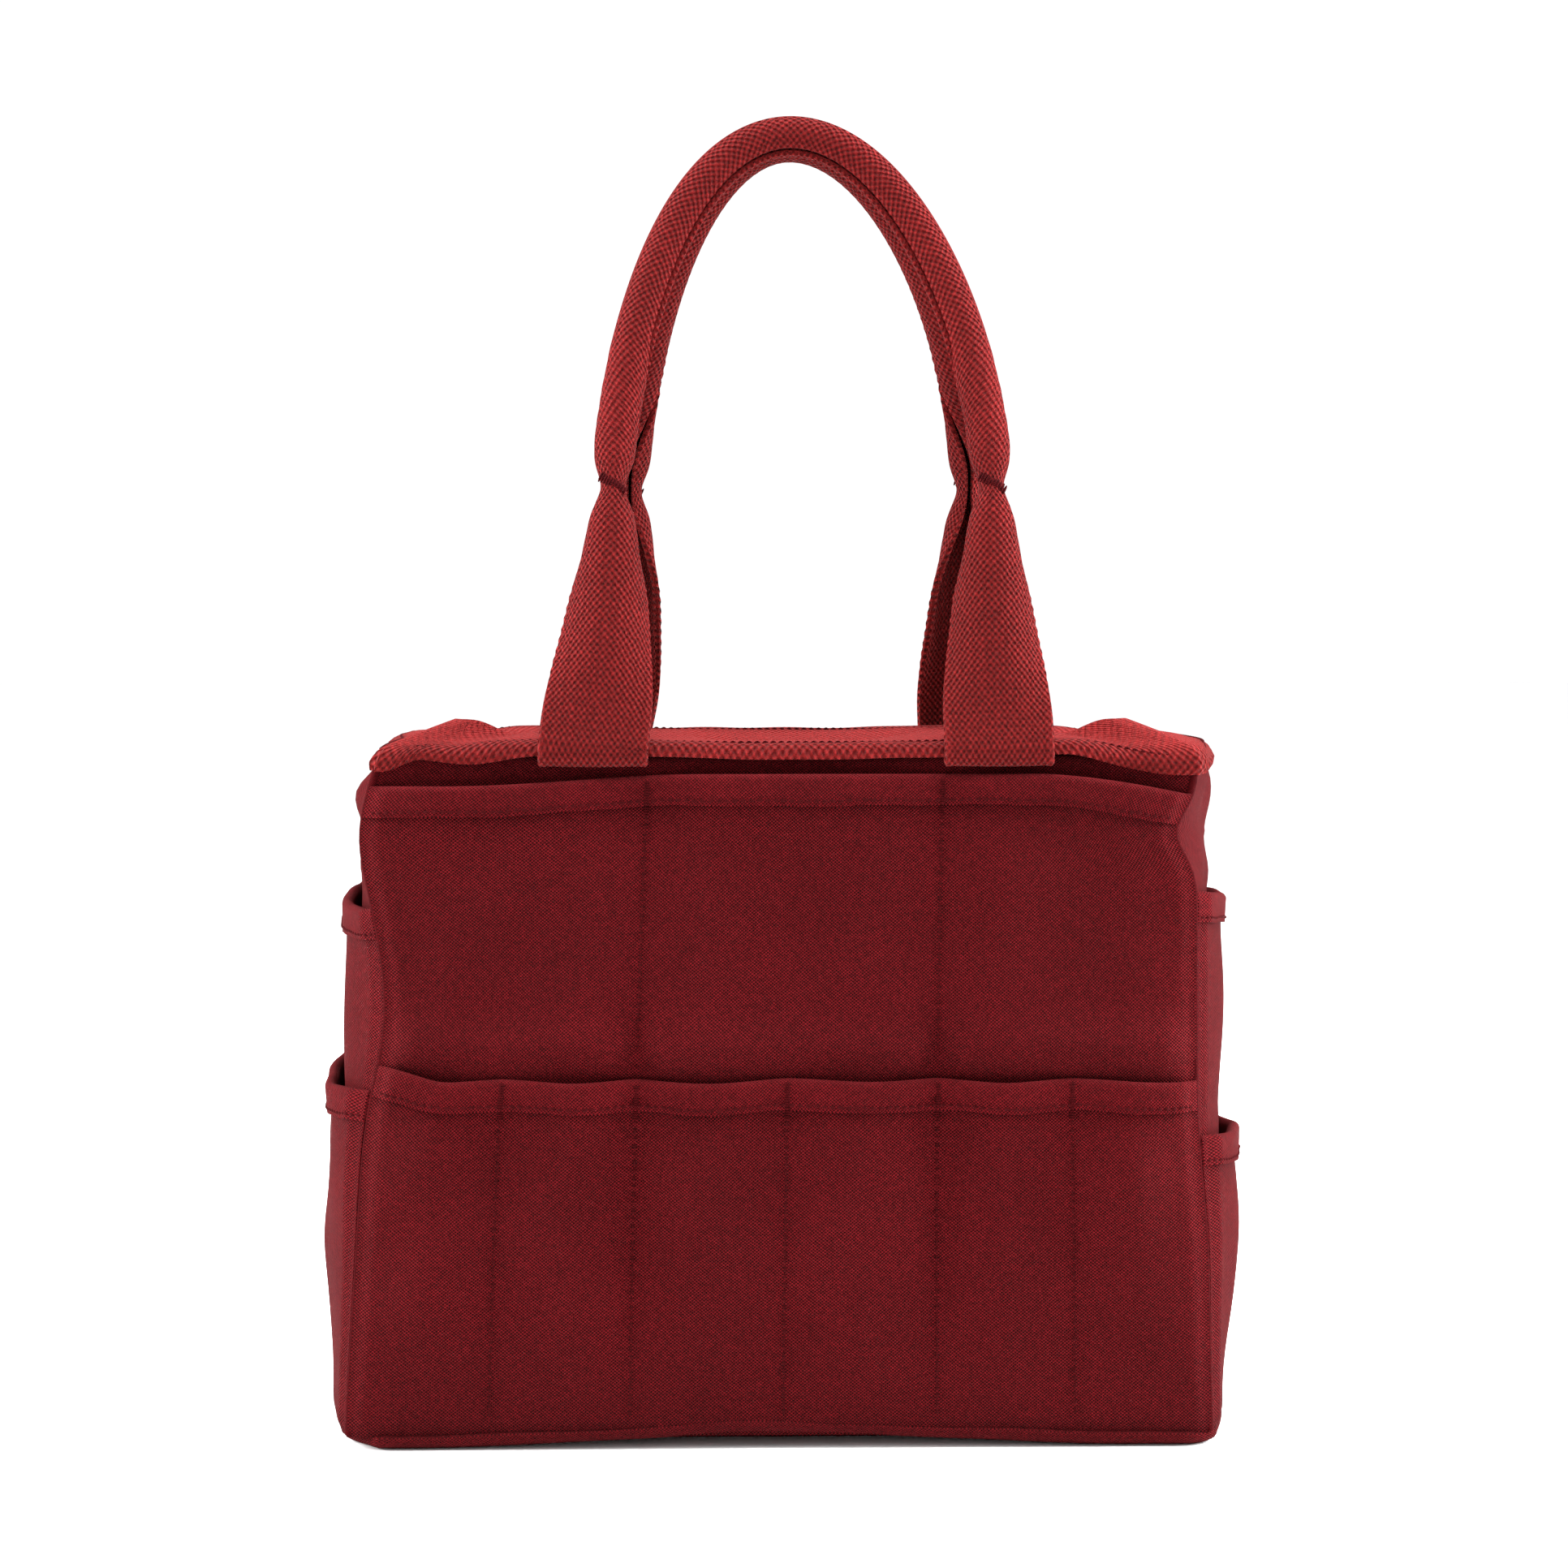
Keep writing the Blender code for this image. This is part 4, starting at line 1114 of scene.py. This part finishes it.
def stitches(name, middles, ways, normals, length, width, thick):
    """One mesh of beads: six-sided rings at five stations along each stitch, narrow at both ends."""
    normals = normals - ways * np.einsum("ij,ij->i", normals, ways)[:, None]
    normals = normals / np.linalg.norm(normals, axis=1, keepdims=True)
    sideways = np.cross(ways, normals)
    station = np.linspace(-0.5, 0.5, 5)
    swell = np.array([0.45, 0.9, 1.0, 0.9, 0.45])
    turn = np.linspace(0, 2 * math.pi, 6, endpoint=False)
    along = np.broadcast_to((station * length)[:, None], (5, 6))
    across = swell[:, None] * np.cos(turn)[None, :] * width / 2
    up = swell[:, None] * np.sin(turn)[None, :] * thick - thick * 2.2 * (station[:, None] * 1.3) ** 2
    local = np.stack((along, across, up), axis=-1).reshape(1, -1, 3)
    points = middles[:, None] + local[..., :1] * ways[:, None] + local[..., 1:2] * sideways[:, None]
    points = points + local[..., 2:] * normals[:, None]
    index = np.arange(30).reshape(5, 6)
    following = np.roll(index, -1, axis=1)
    bead = np.stack((index[:-1], index[1:], following[1:], following[:-1]), axis=-1).reshape(-1, 4)
    caps = np.array([[0, 1, 2, 3], [0, 3, 4, 5]])
    bead = np.concatenate((bead, caps, caps[:, ::-1] + 24))
    quads = (bead[None] + 30 * np.arange(len(middles))[:, None, None]).reshape(-1, 4)
    uv = np.stack((local[0, :, 0], local[0, :, 1]), axis=-1)[bead]
    uv = np.broadcast_to(uv[None], (len(middles), *uv.shape)).reshape(-1, 4, 2)
    return make_piece(name, points.reshape(-1, 3), quads, uv, np.zeros(len(middles) * 30), thread)


# %% Follow a line on the cloth
def sewn_line(place, share, t, off, pitch):
    """Stitch middles, ways and normals along a line on a cloth surface given by share, height and offset."""
    on = place(share, t, off)
    above = place(share, t, off + 0.001)
    middles, ways, at = evenly(on, pitch)
    lifted, _, _ = evenly(above, pitch)
    count = min(len(middles), len(lifted))
    keys = np.linspace(0, 1, len(on))
    normal = np.stack([np.interp(at, keys, (above - on)[:, k]) for k in range(3)], axis=1)
    return middles[:count], ways[:count], (normal / np.linalg.norm(normal, axis=1, keepdims=True))[:count]


def join_lines(lines):
    """Several lines of stitches as one."""
    return [np.concatenate([line[k] for line in lines]) for k in range(3)]


# %% Sew the bindings
THREAD_WIDTH = 0.00095
THREAD_THICK = 0.00050
STITCH_LENGTH = 0.0024
ON_TOP = 0.0001              # how far a stitch's middle stands off the cloth
OVER_BINDING = CANVAS_THICKNESS + GAP + BINDING_CLOTH


def binding_line(place, share, spread, top, off):
    """The one row of stitches, 1.7 mm inside a binding's lower edge."""
    t = top - BINDING_DEPTH * binding_wave(share * spread) + 0.0017
    thin = pinch(share, spread)
    return sewn_line(place, share, t, off(share, t) + OVER_BINDING * thin + ON_TOP, STITCH)


dense = np.linspace(-0.985, 0.985, 500)
for word, facing in (("front", FRONT), ("back", BACK)):
    for tier, top, off, _ in long_tiers(dense * FRONT_SPREAD):
        line = binding_line(front_point(facing), dense, FRONT_SPREAD, top, off)
        sewn = stitches(f"{word}_{tier}_binding_thread", *line, STITCH_LENGTH, THREAD_WIDTH, THREAD_THICK)
        place_piece(sewn, "bag", "thread")
for word, side in (("left", LEFT), ("right", RIGHT)):
    for tier, top, off in end_tiers(side, dense):
        line = binding_line(end_point(side), dense, END_SPREAD, top, off)
        sewn = stitches(f"{word}_{tier}_binding_thread", *line, STITCH_LENGTH, THREAD_WIDTH, THREAD_THICK)
        place_piece(sewn, "bag", "thread")


# %% Sew the divisions
BAR_WIDTH = 0.0010
BAR_PITCH = 0.00085


def division_lines(place, x, top, off, low):
    """A seam up the cloth to the binding, then a dense tack of crosswise stitches over the binding."""
    t = np.linspace(low, top - BINDING_DEPTH - 0.002, 90)
    share = np.full_like(t, x / FRONT_SPREAD)
    seam = sewn_line(place, share, t, off(share, t) + CANVAS_THICKNESS + ON_TOP, STITCH)
    t = np.linspace(top - BINDING_DEPTH - 0.0035, top + 0.0005, 60)
    share = np.full_like(t, x / FRONT_SPREAD)
    over = np.where(t < top - BINDING_DEPTH, CANVAS_THICKNESS, OVER_BINDING)
    away = off(share, np.minimum(t, top)) + over + ON_TOP
    middles, ways, normals = sewn_line(place, share, t, away, BAR_PITCH)
    return seam, (middles, np.cross(ways, normals), normals)


for word, facing in (("front", FRONT), ("back", BACK)):
    place = front_point(facing)
    for tier, seams, mouth, off, low in (
        ("upper", UPPER_SEAMS, upper_top, upper_off, 0.139),
        ("lower", LOWER_SEAMS, lower_top, lower_off, SOLE_TOP + 0.004),
    ):
        for number, x in enumerate(seams, 1):
            top = float(mouth(np.array(x)))
            seam, tack = division_lines(place, x, top, off, low)
            node = f"{word}_{tier}_stitching_{number}"
            sewn = stitches(f"{node}_thread", *seam, STITCH_LENGTH, THREAD_WIDTH, THREAD_THICK)
            place_piece(sewn, "bag", "thread", node)
            bar = stitches(f"{node}_bar_tack", *tack, STITCH_LENGTH, BAR_WIDTH, THREAD_THICK)
            place_piece(bar, "bag", "thread")


# %% Sew the band
def band_line(place, share, low, lifted):
    """A row of stitches along the band, 6.2 mm up from its lower edge and sunk into the webbing."""
    t = np.broadcast_to(low + 0.0062, share.shape)
    return sewn_line(place, share, t, mix(BAND_SEWN, BAND_OFF, lifted) + WEBBING - 0.0002, STITCH)


inner = dense * 0.95
band_lines = []
for facing in (FRONT, BACK):
    band_lines.append(band_line(front_point(facing), inner, band_low_front(inner), band_lift(inner)))
for side in (LEFT, RIGHT):
    band_lines.append(band_line(end_point(side), inner, band_low_end(side, inner), 0.0 * inner))
band_thread = stitches("rim_thread", *join_lines(band_lines), STITCH_LENGTH, THREAD_WIDTH, THREAD_THICK)
place_piece(band_thread, "bag", "thread")


# %% Tack the rolls
TACK_HALF_WIDTH, TACK_DROP = 0.0042, 0.0026
TACK_LIFT, TACK_BOW = 0.0062, 0.0016
TACK_LEAN = 0.45
TACK_THREAD = (0.0040, 0.0010, 0.0006)         # length, width and thickness of a stitch


def roll_tack(word, facing, side_word, side):
    """A short dense bar of thread across the waist, sloping down towards the bag's middle."""
    path, _, tilt = strap_route(facing)
    height = strap_height(path, tilt)
    half = slice(0, len(path) // 2) if side == LEFT else slice(len(path) // 2, None)
    nearest = np.argmin(np.abs(height[half] - GRIP_START + WAIST_DROP)) + (half.start or 0)
    across, outward = strap_frame(path, tilt)
    centre, along = path[nearest], np.cross(outward[nearest], across[nearest])
    span = np.linspace(-1, 1, 11)[:, None]
    middles = centre + span * TACK_HALF_WIDTH * across[nearest] - span * TACK_DROP * along
    middles = middles + outward[nearest] * (TACK_LIFT - TACK_BOW * span ** 2)
    way = along + TACK_LEAN * across[nearest]
    way = way / np.linalg.norm(way)
    flip = np.array([1.0, -facing, 1.0])
    normals = np.broadcast_to(outward[nearest] * flip, middles.shape)
    ways = np.broadcast_to(way * flip, middles.shape)
    tack = stitches(f"{word}_{side_word}_roll_tack", middles * flip, ways, normals, *TACK_THREAD)
    place_piece(tack, f"{word}_handle", "thread", f"{word}_{side_word}_handle_tack")


for word, facing in (("front", FRONT), ("back", BACK)):
    for side_word, side in (("left", LEFT), ("right", RIGHT)):
        roll_tack(word, facing, side_word, side)

# %% [markdown]
# ## Floor and light
# A plain pale floor and a bright, even room leave the cloth to speak. The lamps stand above and at both
# sides, and the front gets only what the room gives back, so the weave is lit at a low angle and shows.

# %% Floor, room and lamps
floor_mesh = bpy.data.meshes.new("studio_floor")
FLOOR_REACH = 8.0
floor_corners = [(x * FLOOR_REACH, y * FLOOR_REACH, 0) for x, y in ((-1, -1), (1, -1), (1, 1), (-1, 1))]
floor_mesh.from_pydata(floor_corners, [], [(0, 1, 2, 3)])
floor_mesh.update()
studio_floor = bpy.data.objects.new("studio_floor", floor_mesh)
bpy.context.collection.objects.link(studio_floor)
pale = bpy.data.materials.new("pale_floor")
pale.use_nodes = True
pale.node_tree.nodes["Principled BSDF"].inputs["Base Color"].default_value = (0.95, 0.95, 0.95, 1.0)
pale.node_tree.nodes["Principled BSDF"].inputs["Roughness"].default_value = 0.8
floor_mesh.materials.append(pale)

world = bpy.data.worlds.new("room")
world.use_nodes = True
world.node_tree.nodes["Background"].inputs["Color"].default_value = (1.0, 1.0, 1.0, 1.0)
world.node_tree.nodes["Background"].inputs["Strength"].default_value = 1.05
bpy.context.scene.world = world
bpy.context.scene.view_settings.view_transform = "Standard"

LAMPS = (
    ("lamp_above", (0.15, -0.05, 1.9), 1.0, 72.0),
    ("lamp_right", (1.7, 0.05, 0.8), 1.0, 108.0),
    ("lamp_left", (-1.7, 0.0, 0.8), 1.0, 94.0),
)
for name, place, size, power in LAMPS:
    lamp = bpy.data.objects.new(name, bpy.data.lights.new(name, "AREA"))
    lamp.data.size = size
    lamp.data.energy = power
    bpy.context.collection.objects.link(lamp)
    aim(lamp, place, (0.0, 0.0, 0.2))
print("lamps:", [row[0] for row in LAMPS])
